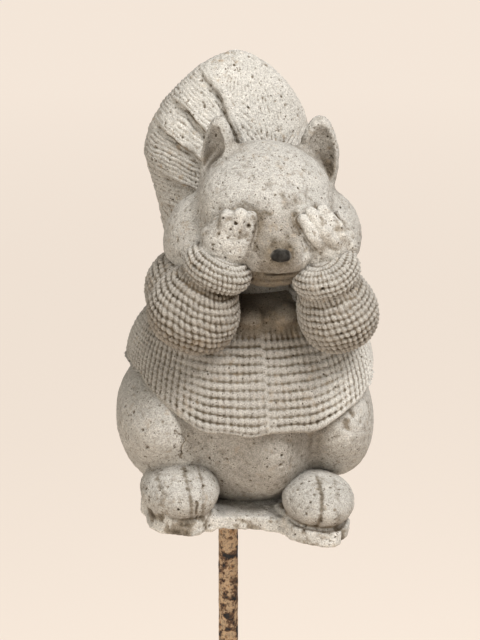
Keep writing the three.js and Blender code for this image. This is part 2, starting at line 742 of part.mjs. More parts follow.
// The blind socket in the casting, open below the base
function socket() {
  const shape = turned([
    [0, -SOCKET_LEAD],
    [socketRadius, -SOCKET_LEAD],
    [socketRadius, SOCKET_DEPTH],
    [0, SOCKET_DEPTH],
  ], BAR_FACETS);
  shape.translate(SOCKET_ASIDE, SOCKET_BEHIND, 0);
  return solidOf(shape);
}

// The nose, or with a clearance around it, its seat
function noseTip(clearance) {
  const around = 2 * clearance;
  return egg(nose, NOSE_WIDTH + around, NOSE_LENGTH + around, NOSE_HEIGHT + around);
}

// The whole casting, with the nose's seat and the rod's socket cut into it
function casting() {
  const belly = egg(waist, BELLY_WIDTH, BELLY_LENGTH, BELLY_HEIGHT);
  const legs = [haunch(RIGHT), haunch(LEFT), thigh(RIGHT), thigh(LEFT)];
  const body = [base(), belly, ...legs, jumperBody(), collar(), tail()];
  const upper = [...ARMS.map(arm), skull(), ear(RIGHT), ear(LEFT)];
  return joined([...body, ...upper]).subtract(mouth()).subtract(noseTip(SEAT_GAP)).subtract(socket());
}

const figure = new THREE.Group();
figure.position.set(-SOCKET_ASIDE, -SOCKET_BEHIND, ROD_ABOVE_SOIL);
figure.add(meshOf('squirrel_casting', casting(), stone));
figure.add(meshOf('nose', noseTip(0), dark));

const stake = new THREE.Group();
stake.add(meshOf('stake_rod', rod(), rust));
stake.add(meshOf('rod_sleeve', sleeve(), plastic));
stake.add(figure);

export default stake;
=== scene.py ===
import math
from dataclasses import dataclass
from functools import cached_property

import bpy
import numpy as np
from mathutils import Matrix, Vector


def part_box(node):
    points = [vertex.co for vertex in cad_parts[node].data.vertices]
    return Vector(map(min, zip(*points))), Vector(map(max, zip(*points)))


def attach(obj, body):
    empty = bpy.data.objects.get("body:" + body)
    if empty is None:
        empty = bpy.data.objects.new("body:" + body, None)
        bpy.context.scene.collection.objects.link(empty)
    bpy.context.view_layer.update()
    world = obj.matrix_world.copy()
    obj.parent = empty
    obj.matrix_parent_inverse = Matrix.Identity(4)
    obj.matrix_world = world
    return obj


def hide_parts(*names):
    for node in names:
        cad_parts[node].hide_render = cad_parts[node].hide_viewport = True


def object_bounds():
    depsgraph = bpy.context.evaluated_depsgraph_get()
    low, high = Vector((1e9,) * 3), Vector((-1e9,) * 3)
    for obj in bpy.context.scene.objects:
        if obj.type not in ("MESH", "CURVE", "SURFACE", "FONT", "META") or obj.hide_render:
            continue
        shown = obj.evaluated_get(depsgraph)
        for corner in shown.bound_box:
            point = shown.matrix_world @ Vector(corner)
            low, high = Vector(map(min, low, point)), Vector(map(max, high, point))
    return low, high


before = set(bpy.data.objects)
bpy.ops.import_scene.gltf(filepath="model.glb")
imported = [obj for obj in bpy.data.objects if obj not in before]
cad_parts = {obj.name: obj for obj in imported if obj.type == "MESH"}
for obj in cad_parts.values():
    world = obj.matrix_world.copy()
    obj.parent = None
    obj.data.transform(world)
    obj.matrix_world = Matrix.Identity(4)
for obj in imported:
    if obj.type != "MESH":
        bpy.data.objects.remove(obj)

import openvdb
from mathutils import Euler, Vector

CAD_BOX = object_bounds()

# Sizes are millimetres in the figure's own frame, whose origin lies under the middle of the base.
# The squirrel faces -Y. Left and right are its own, so its right side lies towards -X.
MM = 0.001
FIGURE_AT = (4.3, -8.0, 100.0)
RIGHT, LEFT = -1, 1

# How finely the stone is modelled, how far detail reaches from the plain surface, and what counts as far away
STEP = 0.46
BAND, FAR = 2.4, 12.0
LEAST_SLOPE, LEAST_NARROWING, TINY = 0.3, 0.2, 1e-4

# Layers of noise: the height of each, the size of its lumps and its number
UNEVENNESS = ((0.35, 16.0, 0), (0.24, 6.0, 1))
GRAIN = ((0.08, 2.4, 2), (0.22, 1.1, 3))
CRACK_WANDER = ((0.8, 2.0, 20),)
STAINS = ((0.4, 12.0, 30), (0.8, 2.6, 31), (0.9, 1.1, 32))
LATTICE_SIZE, LAYER_SHIFT, SEED = 64, 17.3, 7

# Painted shade in hollows: how far off the walls of a hollow are felt, the grime and painted shade everywhere,
# and how stains set in
COVER_REACHES, GRIME_AND_SHADE = (2.0, 4.0, 8.0), 0.2
STAIN_RANGE, STAIN_IN_HOLLOWS = (0.6, 1.4), 0.4

# Pinholes of each piece: how many to a square millimetre, their smallest and largest radius, and the seed
PORES = {
    "base_and_feet": (0.2, 0.24, 0.62, 11),
    "belly_and_haunches": (0.16, 0.24, 0.6, 12),
    "jumper": (0.02, 0.28, 0.6, 13),
    "right_sleeve": (0.012, 0.3, 0.7, 13),
    "left_sleeve": (0.012, 0.3, 0.7, 15),
    "head_and_paws": (0.3, 0.24, 0.46, 17),
    "tail": (0.16, 0.24, 0.6, 18),
}
PORE_DEPTH = 0.5


@dataclass
class Egg:
    """An egg-shaped lump with a taper towards its top. The rows of axes are its own directions."""
    centre: tuple
    size: tuple
    axes: np.ndarray = None
    taper: float = 0.0

    def reach(self):
        return np.array(self.centre), max(self.size) / 2 * (1 + abs(self.taper))

    def distance(self, x, y, z):
        x, y, z = (a - c for a, c in zip((x, y, z), self.centre))
        if self.axes is not None:
            x, y, z = (m[0] * x + m[1] * y + m[2] * z for m in self.axes)
        half = [s / 2 for s in self.size]
        if self.taper:
            narrowing = np.maximum(1 - self.taper * z / half[2], LEAST_NARROWING)
            x, y = x / narrowing, y / narrowing
        scaled = np.sqrt((x / half[0]) ** 2 + (y / half[1]) ** 2 + (z / half[2]) ** 2)
        steep = np.sqrt((x / half[0] ** 2) ** 2 + (y / half[1] ** 2) ** 2 + (z / half[2] ** 2) ** 2)
        return scaled * (scaled - 1) / np.maximum(steep, TINY)


def turned(*degrees):
    """The directions of something turned about X, Y and Z."""
    return np.array(Euler([math.radians(d) for d in degrees]).to_matrix()).T


def unit(vector):
    return np.array(vector, float) / np.linalg.norm(vector)


def limb_axes(start, end):
    """The directions of a limb: across the front, through it, and along it."""
    along = unit(np.subtract(end, start))
    across = unit(np.cross((0, 1, 0), along))
    return np.stack([across, np.cross(along, across), along])


def limb(start, end, width, thickness, taper=0.0):
    """An egg that lies between two ends."""
    middle = tuple((np.array(start) + end) / 2)
    length = np.linalg.norm(np.subtract(end, start))
    return Egg(middle, (width, thickness, length), limb_axes(start, end), taper)


@dataclass
class Strand:
    """A tapering round strand along a line of points."""
    points: tuple
    radii: tuple

    def reach(self):
        points = np.array(self.points, float)
        middle = (points.min(0) + points.max(0)) / 2
        return middle, np.abs(points - middle).max() + max(self.radii)

    def distance(self, x, y, z):
        nearest = None
        for a, b, ra, rb in zip(self.points, self.points[1:], self.radii, self.radii[1:]):
            way = np.subtract(b, a)
            share = sum((p - o) * w for p, o, w in zip((x, y, z), a, way)) / (way @ way)
            share = np.clip(share, 0, 1)
            off = sum((p - o - share * w) ** 2 for p, o, w in zip((x, y, z), a, way))
            here = np.sqrt(off) - ra - (rb - ra) * share
            nearest = here if nearest is None else np.minimum(nearest, here)
        return nearest


def soft_min(a, b, blend):
    if blend <= 0:
        return np.minimum(a, b)
    near = np.maximum(blend - np.abs(a - b), 0) / blend
    return np.minimum(a, b) - near * near * blend / 4


def soft_max(a, b, blend):
    return -soft_min(-a, -b, blend)


@dataclass
class Joined:
    """Lumps that swell into each other."""
    lumps: tuple
    blend: float

    def reach(self):
        spans = [lump.reach() for lump in self.lumps]
        low = np.min([c - r for c, r in spans], axis=0)
        high = np.max([c + r for c, r in spans], axis=0)
        return (low + high) / 2, (high - low).max() / 2

    def distance(self, x, y, z):
        whole = self.lumps[0].distance(x, y, z)
        for lump in self.lumps[1:]:
            whole = soft_min(whole, lump.distance(x, y, z), self.blend)
        return whole


@dataclass
class Hollowed:
    """A lump with another cut out of it."""
    outside: Egg
    hollow: Egg
    blend: float

    def reach(self):
        return self.outside.reach()

    def distance(self, x, y, z):
        return soft_max(self.outside.distance(x, y, z), -self.hollow.distance(x, y, z), self.blend)


# Smooth random values on a lattice that repeats far apart
LATTICE = np.random.default_rng(SEED).uniform(-1, 1, (LATTICE_SIZE,) * 3).astype(np.float32)


def noise(points, size, layer):
    """Smooth noise from -1 to 1 at an array of points, with lumps about a size apart."""
    place = points / size + LAYER_SHIFT * (layer + 1)
    cell = np.floor(place)
    fx, fy, fz = ((place - cell) ** 2 * (3 - 2 * (place - cell))).T
    x, y, z = cell.astype(int).T % LATTICE_SIZE
    across, back, up = ((n + 1) % LATTICE_SIZE for n in (x, y, z))

    def row(j, k):
        return LATTICE[x, j, k] * (1 - fx) + LATTICE[across, j, k] * fx

    low = row(y, z) * (1 - fy) + row(back, z) * fy
    high = row(y, up) * (1 - fy) + row(back, up) * fy
    return low * (1 - fz) + high * fz


def layered(points, layers):
    """The sum of layers of noise."""
    return sum(height * noise(points, size, layer) for height, size, layer in layers)


def unevenness(points):
    """What the mould leaves."""
    return layered(points, UNEVENNESS)


def weathering(points):
    """What the weather leaves: a sandy grain."""
    return layered(points, GRAIN)


def smooth(low, high, value):
    """Rises from 0 at one value to 1 at another."""
    share = np.clip((value - low) / (high - low), 0, 1)
    return share * share * (3 - 2 * share)


def within(points, ranges, middle=0.0):
    """How far points lie in a place, from 0 to 1. It sets in over ranges, of which some start from a middle."""
    x, y, z = points.T
    measures = {"across": x, "left": x - middle, "aside": np.abs(x - middle), "back": y, "above": z, "below": z}
    return np.prod([smooth(*ends, measures[way]) for way, ends in ranges.items()], axis=0)


def linked(name, mesh, material):
    """An object with a mesh of one material."""
    mesh.materials.append(material)
    piece = bpy.data.objects.new(name, mesh)
    bpy.context.scene.collection.objects.link(piece)
    return piece


def tell(mesh, label, values):
    """Gives the corners of a mesh values that its material reads."""
    mesh.attributes.new(label, "FLOAT", "POINT").data.foreach_set("value", values.astype(np.float32))


class Clay:
    """Signed distances on a grid of points, which lumps are joined to, each more or less softly, and cut from."""

    def __init__(self, low, high, lumps):
        self.low = np.array(low, float)
        counts = np.ceil((np.array(high) - self.low) / STEP).astype(int) + 1
        self.axes = [self.low[i] + STEP * np.arange(counts[i]) for i in range(3)]
        self.field = np.full(counts, FAR, np.float32)
        for lump, blend in lumps:
            self.add(lump, blend)

    def window(self, lump, margin):
        """The part of the grid that a lump can change, and its coordinates."""
        centre, reach = lump.reach()
        spans = []
        for i in range(3):
            first = int((centre[i] - reach - margin - self.low[i]) / STEP)
            last = int((centre[i] + reach + margin - self.low[i]) / STEP) + 2
            spans.append(slice(max(first, 0), max(last, 0)))
        x, y, z = (axis[span].astype(np.float32) for axis, span in zip(self.axes, spans))
        return tuple(spans), (x[:, None, None], y[None, :, None], z[None, None, :])

    def add(self, lump, blend):
        spans, coordinates = self.window(lump, FAR)
        self.field[spans] = soft_min(self.field[spans], lump.distance(*coordinates), blend)

    def cut(self, lump, blend=0.0):
        spans, coordinates = self.window(lump, blend + STEP)
        self.field[spans] = soft_max(self.field[spans], -lump.distance(*coordinates), blend)

    def settle(self, shape=None, band=BAND):
        """Leaves the surface a little uneven and remembers it, to tell later how deep its detail lies."""
        self.plain = self.field.copy()
        self.detail(shape or unevenness, band)
        self.plain = self.field.copy()

    def detail(self, shape, band=BAND):
        """Raises the surface by shape(points), in millimetres."""
        near = np.nonzero(np.abs(self.plain) < band)
        inner = np.all([(0 < n) & (n < s - 1) for n, s in zip(near, self.plain.shape)], axis=0)
        near = tuple(n[inner] for n in near)
        slope = np.empty((len(near[0]), 3), np.float32)
        for i, way in enumerate(np.eye(3, dtype=int)):
            ahead, behind = (tuple(n + turn * w for n, w in zip(near, way)) for turn in (1, -1))
            slope[:, i] = (self.plain[ahead] - self.plain[behind]) / (2 * STEP)
        steep = np.maximum(np.linalg.norm(slope, axis=1), LEAST_SLOPE)
        normals = slope / steep[:, None]
        here = self.plain[near] / steep
        points = np.stack([axis[n] for axis, n in zip(self.axes, near)], axis=1)
        on_surface = points - normals * here[:, None]
        self.field[near] += here - self.plain[near] - shape(on_surface)

    def front(self, across, up):
        """Where a line from the front, at a place across and up, meets the plain surface."""
        i, k = (int(round((v - self.low[a]) / STEP)) for v, a in ((across, 0), (up, 2)))
        return np.array([across, self.axes[1][np.argmax(self.plain[i, :, k] < 0)], up])

    def crack(self, places, width):
        """A crack that runs over the front between places across and up it."""
        for a, b in zip(places, places[1:]):
            count = int(np.hypot(*np.subtract(b, a)) / (width / 2)) + 1
            line = [self.front(*np.add(a, np.subtract(b, a) * i / count)) for i in range(count)]
            wander = layered(np.array(line), CRACK_WANDER)[:, None] * (1, 0, 1)
            self.carve(line + wander, [width / 2] * count)

    def carve(self, centres, radii):
        """Cuts small round holes."""
        for centre, radius in zip(centres, radii):
            first = np.floor((centre - radius - self.low) / STEP).astype(int)
            last = np.ceil((centre + radius - self.low) / STEP).astype(int) + 1
            spans = tuple(slice(max(a, 0), max(b, 0)) for a, b in zip(first, last))
            x, y, z = (axis[span] - c for axis, span, c in zip(self.axes, spans, centre))
            off = np.sqrt(x[:, None, None] ** 2 + y[None, :, None] ** 2 + z[None, None, :] ** 2)
            self.field[spans] = np.maximum(self.field[spans], radius - off)

    def sample(self, points, field):
        """The field's value at points anywhere in the grid."""
        last = np.array(field.shape) - 1
        place = np.clip((points - self.low) / STEP, 0, last)
        cell = np.minimum(place.astype(int), last - 1)
        share = place - cell
        total = 0.0
        for corner in np.ndindex(2, 2, 2):
            weight = np.prod(np.where(corner, share, 1 - share), axis=1)
            total = total + weight * field[tuple((cell + corner).T)]
        return total

    def pores(self, density, smallest, largest, seed):
        """Pinholes over the surface, most of them small, density to each square millimetre."""
        rng = np.random.default_rng(seed)
        high = np.array([axis[-1] for axis in self.axes])
        count = int(density * np.prod(high - self.low) / (2 * PORE_DEPTH))
        places = rng.uniform(self.low, high, (count, 3))
        radii = smallest + (largest - smallest) * rng.random(count) ** 3
        close = np.abs(self.sample(places, self.plain)) < PORE_DEPTH
        self.carve(places[close], radii[close])

    def painted_shade(self, corners):
        """How far each corner lies in a hollow, from 0 in the open to 1, which sets the painted shade there."""
        normals = np.stack([self.sample(corners + d, self.plain) - self.sample(corners - d, self.plain)
                            for d in STEP * np.eye(3)], axis=1)
        normals /= np.maximum(np.linalg.norm(normals, axis=1, keepdims=True), TINY)
        shut = 0.0
        for reach in COVER_REACHES:
            shut = shut + np.clip(1 - self.sample(corners + normals * reach, self.plain) / reach, 0, 1)
        return shut / len(COVER_REACHES)

    def piece(self, name, material, slot="stone", node="squirrel_casting", stained=0.3, shading=None):
        """A closed mesh of the surface with pinholes, which knows how proud, hollow and stained it is, and how
        much shade and light is painted on it.
        """
        if name in PORES:
            self.pores(*PORES[name])
        for side in range(3):
            np.moveaxis(self.field, side, 0)[[0, -1]] = FAR
        volume = openvdb.FloatGrid(FAR)
        volume.copyFromArray(self.field)
        corners, quads = largest_shell(*volume.convertToQuads())
        corners = corners * STEP + self.low
        mesh = bpy.data.meshes.new(name)
        mesh.vertices.add(len(corners))
        mesh.vertices.foreach_set("co", ((corners + FIGURE_AT) * MM).astype(np.float32).ravel())
        mesh.loops.add(quads.size)
        mesh.loops.foreach_set("vertex_index", quads.astype(np.int32).ravel())
        mesh.polygons.add(len(quads))
        mesh.polygons.foreach_set("loop_start", np.arange(0, quads.size, 4, dtype=np.int32))
        mesh.update(calc_edges=True)
        mesh.shade_smooth()
        # Painted shade: darker in hollows, with more shade or light painted on by the piece's own function
        relief, painted_shade = self.sample(corners, self.plain), self.painted_shade(corners) + GRIME_AND_SHADE
        if shading:
            painted_shade = painted_shade + shading(corners)
        stain = stained * smooth(*STAIN_RANGE, layered(corners, STAINS) + STAIN_IN_HOLLOWS * painted_shade)
        for label, values in (("relief", relief), ("painted_shade", painted_shade), ("stain", stain)):
            tell(mesh, label, values)
        piece = linked(name, mesh, material)
        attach(piece, "figure")
        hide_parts(node)
        return piece


def largest_shell(corners, quads):
    """Leaves out crumbs and bubbles, which aren't joined to the rest."""
    ends = np.concatenate([quads[:, [i, i + 1]] for i in range(3)]).astype(np.int64)
    shell = np.arange(len(corners))
    while True:
        first = shell[ends].min(axis=1)
        joined = shell.copy()
        np.minimum.at(joined, ends.ravel(), np.repeat(first, 2))
        joined = joined[joined]
        if np.array_equal(joined, shell):
            break
        shell = joined
    kept = shell == np.bincount(shell).argmax()
    number = np.cumsum(kept) - 1
    return corners[kept], number[quads[kept[quads[:, 0]]]]


# Base and feet
BASE_SLANT = math.radians(6)
FEET = {
    RIGHT: Egg((-30.1, -33.0, 17.1), (30.4, 38, 21.4)),
    LEFT: Egg((22.6, -39.0, 11.8), (27.4, 37, 20)),
}
# Each toe groove: how far aside of the foot's middle its top and its bottom lie, its depth and its width
TOE_GROOVES = {
    RIGHT: ((-9.6, -7.8, 0.26, 0.9), (0.6, 2.6, 0.4, 0.7), (6.8, 6.2, 0.28, 0.8)),
    LEFT: ((-0.7, -4.2, 0.6, 0.7), (5.6, 4.2, 0.22, 0.8)),
}
TOE_WANDER, TOE_SHARPNESS, ON_FOOT, FOOT_AHEAD = ((0.5, 7.0, 5),), 1.5, (1.5, 0.4), (6, -6)
FOOT_CRACK = ((-26.6, 18.5), (-26.0, 12.8)), 1.0
# Waves in the slab's outline, with their depth, number and start, the slab's rounding, and room for the waves
SLAB_WAVES, SLAB_ROUND, SLAB_ROOM = ((0.9, 3, 0.0), (0.5, 5, 2.1)), 1.4, 6
# The broken edge of the slab and the pads
BROKEN_BELOW, BROKEN_PAD, BROKEN_DEPTH = (5.6, 4.6), (1.5, 0.8), 0.8
BROKEN_LUMPS, BROKEN_LIFT, BROKEN_CREASES = ((0.9, 6.0, 3),), 0.2, ((0.7, 2.6, 4),)
# Heights below which the slab is painted lighter: painted light
SLAB_TOP = (8, 6.5)


def base_height(x, z):
    """The height of a place in the slanted frame of the base."""
    return x * math.sin(BASE_SLANT) + z * math.cos(BASE_SLANT)


@dataclass
class Slab:
    """A slab in the slanted frame of the base, with rounded corners and an uneven outline."""
    middle: tuple
    size: tuple
    corner: float
    bottom: float
    top: float

    def reach(self):
        return np.array([*self.middle, 0.0]), max(self.size) / 2 + SLAB_ROOM

    def distance(self, x, y, z):
        x, z = x * math.cos(BASE_SLANT) - z * math.sin(BASE_SLANT), base_height(x, z)
        turn = np.arctan2(y - self.middle[1], x - self.middle[0]) + self.middle[0]
        wobble = sum(depth * np.sin(count * turn + start) for depth, count, start in SLAB_WAVES)
        over = [np.abs(a - m) - s / 2 + self.corner for a, m, s in zip((x, y), self.middle, self.size)]
        aside = np.sqrt(np.maximum(over[0], 0) ** 2 + np.maximum(over[1], 0) ** 2)
        aside = aside + np.minimum(np.maximum(over[0], over[1]), 0) - self.corner - wobble
        above = np.maximum(z - self.top, self.bottom - z)
        return soft_max(aside, above, SLAB_ROUND)


BASE = Slab((-5.2, 0.0), (66, 80), 22, 0.0, 5.5)
PADS = (Slab((-31.3, -32.0), (25, 34), 12, 0.4, 7.0), Slab((21.3, -38.0), (25, 34), 12, 0.4, 6.4))
BASE_LUMPS = ((BASE, 0), *((pad, 3.5) for pad in PADS), *((foot, 2.6) for foot in FEET.values()))
SOCKET = Strand(((-4.3, 8.0, -20.0), (-4.3, 8.0, 49.2)), (5.8, 5.8))


def toe_grooves(points):
    raised = np.zeros(len(points))
    for side, foot in FEET.items():
        centre, size = np.array(foot.centre), np.array(foot.size)
        on_foot = smooth(*ON_FOOT, np.abs(foot.distance(*points.T)))
        ahead = smooth(*FOOT_AHEAD, points[:, 1] - centre[1])
        down = 0.5 - (points[:, 2] - centre[2]) / size[2]
        for top, bottom, depth, width in TOE_GROOVES[side]:
            off = points[:, 0] - centre[0] - top - (bottom - top) * down - layered(points, TOE_WANDER)
            raised -= on_foot * ahead * depth * np.exp(-np.abs(off / width) ** TOE_SHARPNESS)
    return raised


def make_base(stone):
    clay = Clay((-52, -66, -9), (48, 46, 32), BASE_LUMPS)
    clay.cut(SOCKET)
    clay.settle()

    def surface(points):
        rough = smooth(*BROKEN_BELOW, base_height(points[:, 0], points[:, 2]))
        for pad in PADS:
            rough = np.maximum(rough, smooth(*BROKEN_PAD, np.abs(pad.distance(*points.T))))
        broken = layered(points, BROKEN_LUMPS) + BROKEN_LIFT - np.abs(layered(points, BROKEN_CREASES))
        return weathering(points) + toe_grooves(points) + BROKEN_DEPTH * rough * broken

    # Painted light: the slab is painted lighter than the feet
    def lit_top(points):
        return -2 * GRIME_AND_SHADE * smooth(*SLAB_TOP, base_height(points[:, 0], points[:, 2]))

    clay.detail(surface)
    clay.crack(*FOOT_CRACK)
    clay.piece("base_and_feet", stone, shading=lit_top)


# Belly and haunches
BELLY = Egg((0, -3, 44.3), (82, 80, 87.6))
BELLY_BULGE = Egg((5.1, -22, 33), (29, 47.5, 46))
HAUNCHES = {
    RIGHT: limb((-28, -6, 10.8), (-34, -6, 61.8), 38, 64),
    LEFT: limb((34, -6, 10.8), (28, -6, 61.8), 38, 64),
}
THIGHS = {RIGHT: Egg((-35.5, -15, 40.8), (32, 52, 38)), LEFT: Egg((31.5, -15, 38.3), (32, 52, 38))}
BELLY_LUMPS = (
    (BELLY, 0), (BELLY_BULGE, 4),
    (HAUNCHES[RIGHT], 3), (THIGHS[RIGHT], 2), (HAUNCHES[LEFT], 3), (THIGHS[LEFT], 2),
)
HAUNCH_CRACK = ((-33.5, 43.5), (-30.5, 41), (-29, 38.5), (-30.5, 36), (-29.5, 33.5), (-31, 31)), 0.8
KNEE_PATCH, KNEE_PATCH_SIZE = (36.0, -38.0, 43.0), (9.0, 12.0, 8.0)
KNEE_LUMPS = ((0.9, 4.0, 25), (0.4, 1.8, 26))
# Painted shade on the belly's middle, and how far aside it sets in
BELLY_SHADE, BELLY_SHADED = 0.17, {"aside": (30, 20)}


def make_belly(stone):
    clay = Clay((-58, -54, 0), (58, 48, 90), BELLY_LUMPS)
    clay.cut(SOCKET)
    clay.settle()

    def surface(points):
        knee = np.exp(-np.sum(((points - KNEE_PATCH) / KNEE_PATCH_SIZE) ** 2, axis=1))
        return weathering(points) + knee * layered(points, KNEE_LUMPS)

    # Painted shade on the belly between the haunches
    def in_front(points):
        return BELLY_SHADE * within(points, BELLY_SHADED, BELLY_BULGE.centre[0])

    clay.detail(surface)
    clay.crack(*HAUNCH_CRACK)
    clay.piece("belly_and_haunches", stone, shading=in_front)


# Jumper
HEM, NECK = (1.5, -6.0, 41.6), (2.5, -3.0, 89.0)
HEM_SIZE, NECK_SIZE, HEM_ROUND, NECK_ROUND = (94.0, 86.0), (46.0, 28.0), 2.6, 4
JUMPER_TALL, JUMPER_ROUND, JUMPER_MIDDLE, JUMPER_REACH = NECK[2] - HEM[2], 2.4, (1.5, -6.0, 66.0), 52.0
# The hem, whose rise at the sides, notch and waves fade upwards
HEM_RISE, HEM_LEAN, HEM_SHARPNESS, HEM_SQUARENESS, RISE_FADE = 21.0, 0.12, 3.2, 0.6, 1.5
HEM_NOTCH, HEM_NOTCH_WIDTH, EDGE_FADE = 1.6, 4.0, 6
HEM_WAVE, HEM_WAVES, HEM_WAVE_START, LEVEL_ROUNDS = 0.8, 13, 1.0, 3
COLLAR = (
    Egg((-2.2, -25.8, 82.4), (13, 14, 9), turned(0, 14, 0)),
    Egg((10.8, -25.8, 82.4), (13, 14, 9), turned(0, -14, 0)),
)
STITCHES_ROUND, ROW_HEIGHT, STITCH_DEPTH, STITCH_MIDDLE, STITCH_BEADS = 116, 3.0, 1.4, 0.6, 0.35
BEAD_ROUND, ROW_WANDER, STITCH_WANDER = 0.75, ((0.1, 5.0, 6),), ((0.12, 4.0, 7),)
# How much wool is left, where it is worn off, and its share of the stone's grain
WOOL_LEFT, WOOL_PATCHES, WOOL_WORN, WOOL_GRAIN = 0.85, ((0.3, 9.0, 8),), (0.86, 0.66), 0.5
RIB_LEAST, RIB_MORE, RIB_TOP, RIBBED_BESIDE, RIBBED_ABOVE = 0.25, 0.6, 0.8, (0.5, 0.75), (0.66, 0.74)
HEM_ROLL, HEM_ROLL_HEIGHT = (0.5, 2.0), 0.5
# The mould's seam. The rows are shifted past it.
SEAM_ASIDE, SEAM_HEIGHT, SEAM_WIDTH, SEAM_FRONT = 1.4, 0.35, 0.5, (-20, -30)
SEAM_SHIFT, SEAM_SHIFT_RANGE = 0.35, (-0.6, 0.6)
# Grime and painted shade all over, more painted shade under the chin, and painted light on the left side
JUMPER_GRIME_AND_SHADE, SHADE, SHADE_LEVELS, SHADE_FRONT = 0.17, 0.3, (0.5, 0.85), (-6, -18)
LEFT_LIGHT, LIT_RANGE = 0.3, (18, 32)


def jumper_off(x, y, share):
    """How far across and back of the jumper's middle line a place lies."""
    return [a - hem - share * (neck - hem) for a, hem, neck in zip((x, y), HEM, NECK)]


def jumper_place(x, y, z):
    """How far up the jumper a place lies, from 0 at the hem to 1 at the neck, its turn and how far out it is."""
    level = (z - HEM[2]) / JUMPER_TALL
    for _ in range(LEVEL_ROUNDS):
        share = np.clip(level, 0, 1)
        narrowing = 1 - np.sqrt(np.maximum(1 - share ** JUMPER_ROUND, 0))
        width = HEM_SIZE[0] + (NECK_SIZE[0] - HEM_SIZE[0]) * narrowing
        length = HEM_SIZE[1] + (NECK_SIZE[1] - HEM_SIZE[1]) * (narrowing + share) / 2
        across, behind = (2 * off / size for off, size in zip(jumper_off(x, y, share), (width, length)))
        power = 2 + HEM_SQUARENESS * (1 - share)
        out = np.maximum(np.abs(across) ** power + np.abs(behind) ** power, 1e-6) ** (1 / power)
        turn = np.arctan2(behind, across)
        aside = np.clip(across / out, -1, 1)
        rise = HEM_RISE * (1 - HEM_LEAN * aside) * np.abs(aside) ** HEM_SHARPNESS * (1 - share) ** RISE_FADE
        notch = HEM_NOTCH * np.exp(-((x - SEAM_ASIDE) / HEM_NOTCH_WIDTH) ** 2) * (y < 0)
        wave = HEM_WAVE * np.sin(HEM_WAVES * turn + HEM_WAVE_START)
        level = (z - rise - (notch + wave) * (1 - share) ** EDGE_FADE - HEM[2]) / JUMPER_TALL
    return level, turn, out


class Jumper:
    """The knitted body, rolled at its hem and drawn in at its neck."""

    def reach(self):
        return np.array(JUMPER_MIDDLE), JUMPER_REACH

    def distance(self, x, y, z):
        level, _, out = jumper_place(x, y, z)
        from_middle = np.hypot(*jumper_off(x, y, np.clip(level, 0, 1)))
        height = JUMPER_TALL * level
        aside = from_middle * (1 - 1 / np.maximum(out, 1e-3))
        return soft_max(soft_max(aside, -height, HEM_ROUND), height - JUMPER_TALL, NECK_ROUND)


def knit(rows, stitches, ribbed, beaded):
    """Knitting, from 0 in the holes between stitches to 1 on the yarn.

    Ribbed is 1 where columns stand out instead of rows, and beaded is 1 where each stitch is a knob of its own.
    """
    over_row, over_stitch = np.abs(np.cos(np.pi * rows)), np.abs(np.cos(np.pi * stitches))
    beads = (over_row * over_stitch) ** BEAD_ROUND
    yarn = over_row + (over_stitch - over_row) * ribbed
    return yarn + (beads - yarn) * beaded


def make_jumper(stone):
    clay = Clay((-52, -56, 35), (56, 42, 98), ((Jumper(), 0), *((end, 2.5) for end in COLLAR)))
    clay.settle()

    def surface(points):
        level, turn, _ = jumper_place(*points.T)
        height = level * JUMPER_TALL
        past_seam = smooth(*SEAM_SHIFT_RANGE, points[:, 0] - SEAM_ASIDE)
        rows = height / ROW_HEIGHT + layered(points, ROW_WANDER) + SEAM_SHIFT * past_seam
        stitches = turn / (2 * np.pi) * STITCHES_ROUND + layered(points, STITCH_WANDER)
        beside = smooth(*RIBBED_BESIDE, np.abs(np.cos(turn)))
        ribbed = RIB_LEAST + RIB_MORE * np.maximum(beside, RIB_TOP * smooth(*RIBBED_ABOVE, level))
        worn = smooth(*WOOL_WORN, level) * (WOOL_LEFT + layered(points, WOOL_PATCHES))
        roll = smooth(*HEM_ROLL, height)
        wool = STITCH_DEPTH * worn * roll * (knit(rows, stitches, ribbed, STITCH_BEADS) - STITCH_MIDDLE)
        front = smooth(*SEAM_FRONT, points[:, 1])
        seam = SEAM_HEIGHT * front * np.exp(-((points[:, 0] - SEAM_ASIDE) / SEAM_WIDTH) ** 2)
        return WOOL_GRAIN * weathering(points) + wool + seam + HEM_ROLL_HEIGHT * (1 - roll)

    # Painted shade under the chin, and painted light on the left side
    def under_chin(points):
        level, _, _ = jumper_place(*points.T)
        shade = SHADE * smooth(*SHADE_LEVELS, level) * smooth(*SHADE_FRONT, points[:, 1])
        return JUMPER_GRIME_AND_SHADE - LEFT_LIGHT * smooth(*LIT_RANGE, points[:, 0]) + shade

    clay.detail(surface)
    clay.piece("jumper", stone, shading=under_chin)


# Arms
SHOULDERS = {side: Egg((2.5 + side * 26, -8, 87.3), (30, 44, 34)) for side in (RIGHT, LEFT)}
ELBOWS = {RIGHT: (-30.0, -32.0, 75.3), LEFT: (35.0, -32.0, 72.3)}
WRISTS = {RIGHT: (-17.5, -40.0, 107.3), LEFT: (24.5, -40.0, 101.3)}
SLEEVE_WIDTHS = {RIGHT: 33.0, LEFT: 29.0}
SLEEVE_TAPER = 0.34
CUFFS = {RIGHT: (-16.3, -40.0, 107.0), LEFT: (24.3, -40.0, 103.2)}
CUFF_RADIUS, CUFF_LENGTH, CUFF_ROUND = 13.0, 12.5, 5.6
CREASE_DEPTH, CREASE_WIDTH, SLEEVE_ENDS = 0.25, 0.8, {RIGHT: 3.0, LEFT: 7.0}
SLEEVE_ROW, SLEEVE_STITCHES, SLEEVE_TWIST, CUFF_ROW = 2.7, 40, {RIGHT: 0.16, LEFT: 0.03}, 2.4
SLEEVE_DEPTH, SHOULDER_FROM, SHOULDER_STITCH = 1.5, 12.0, 3.6
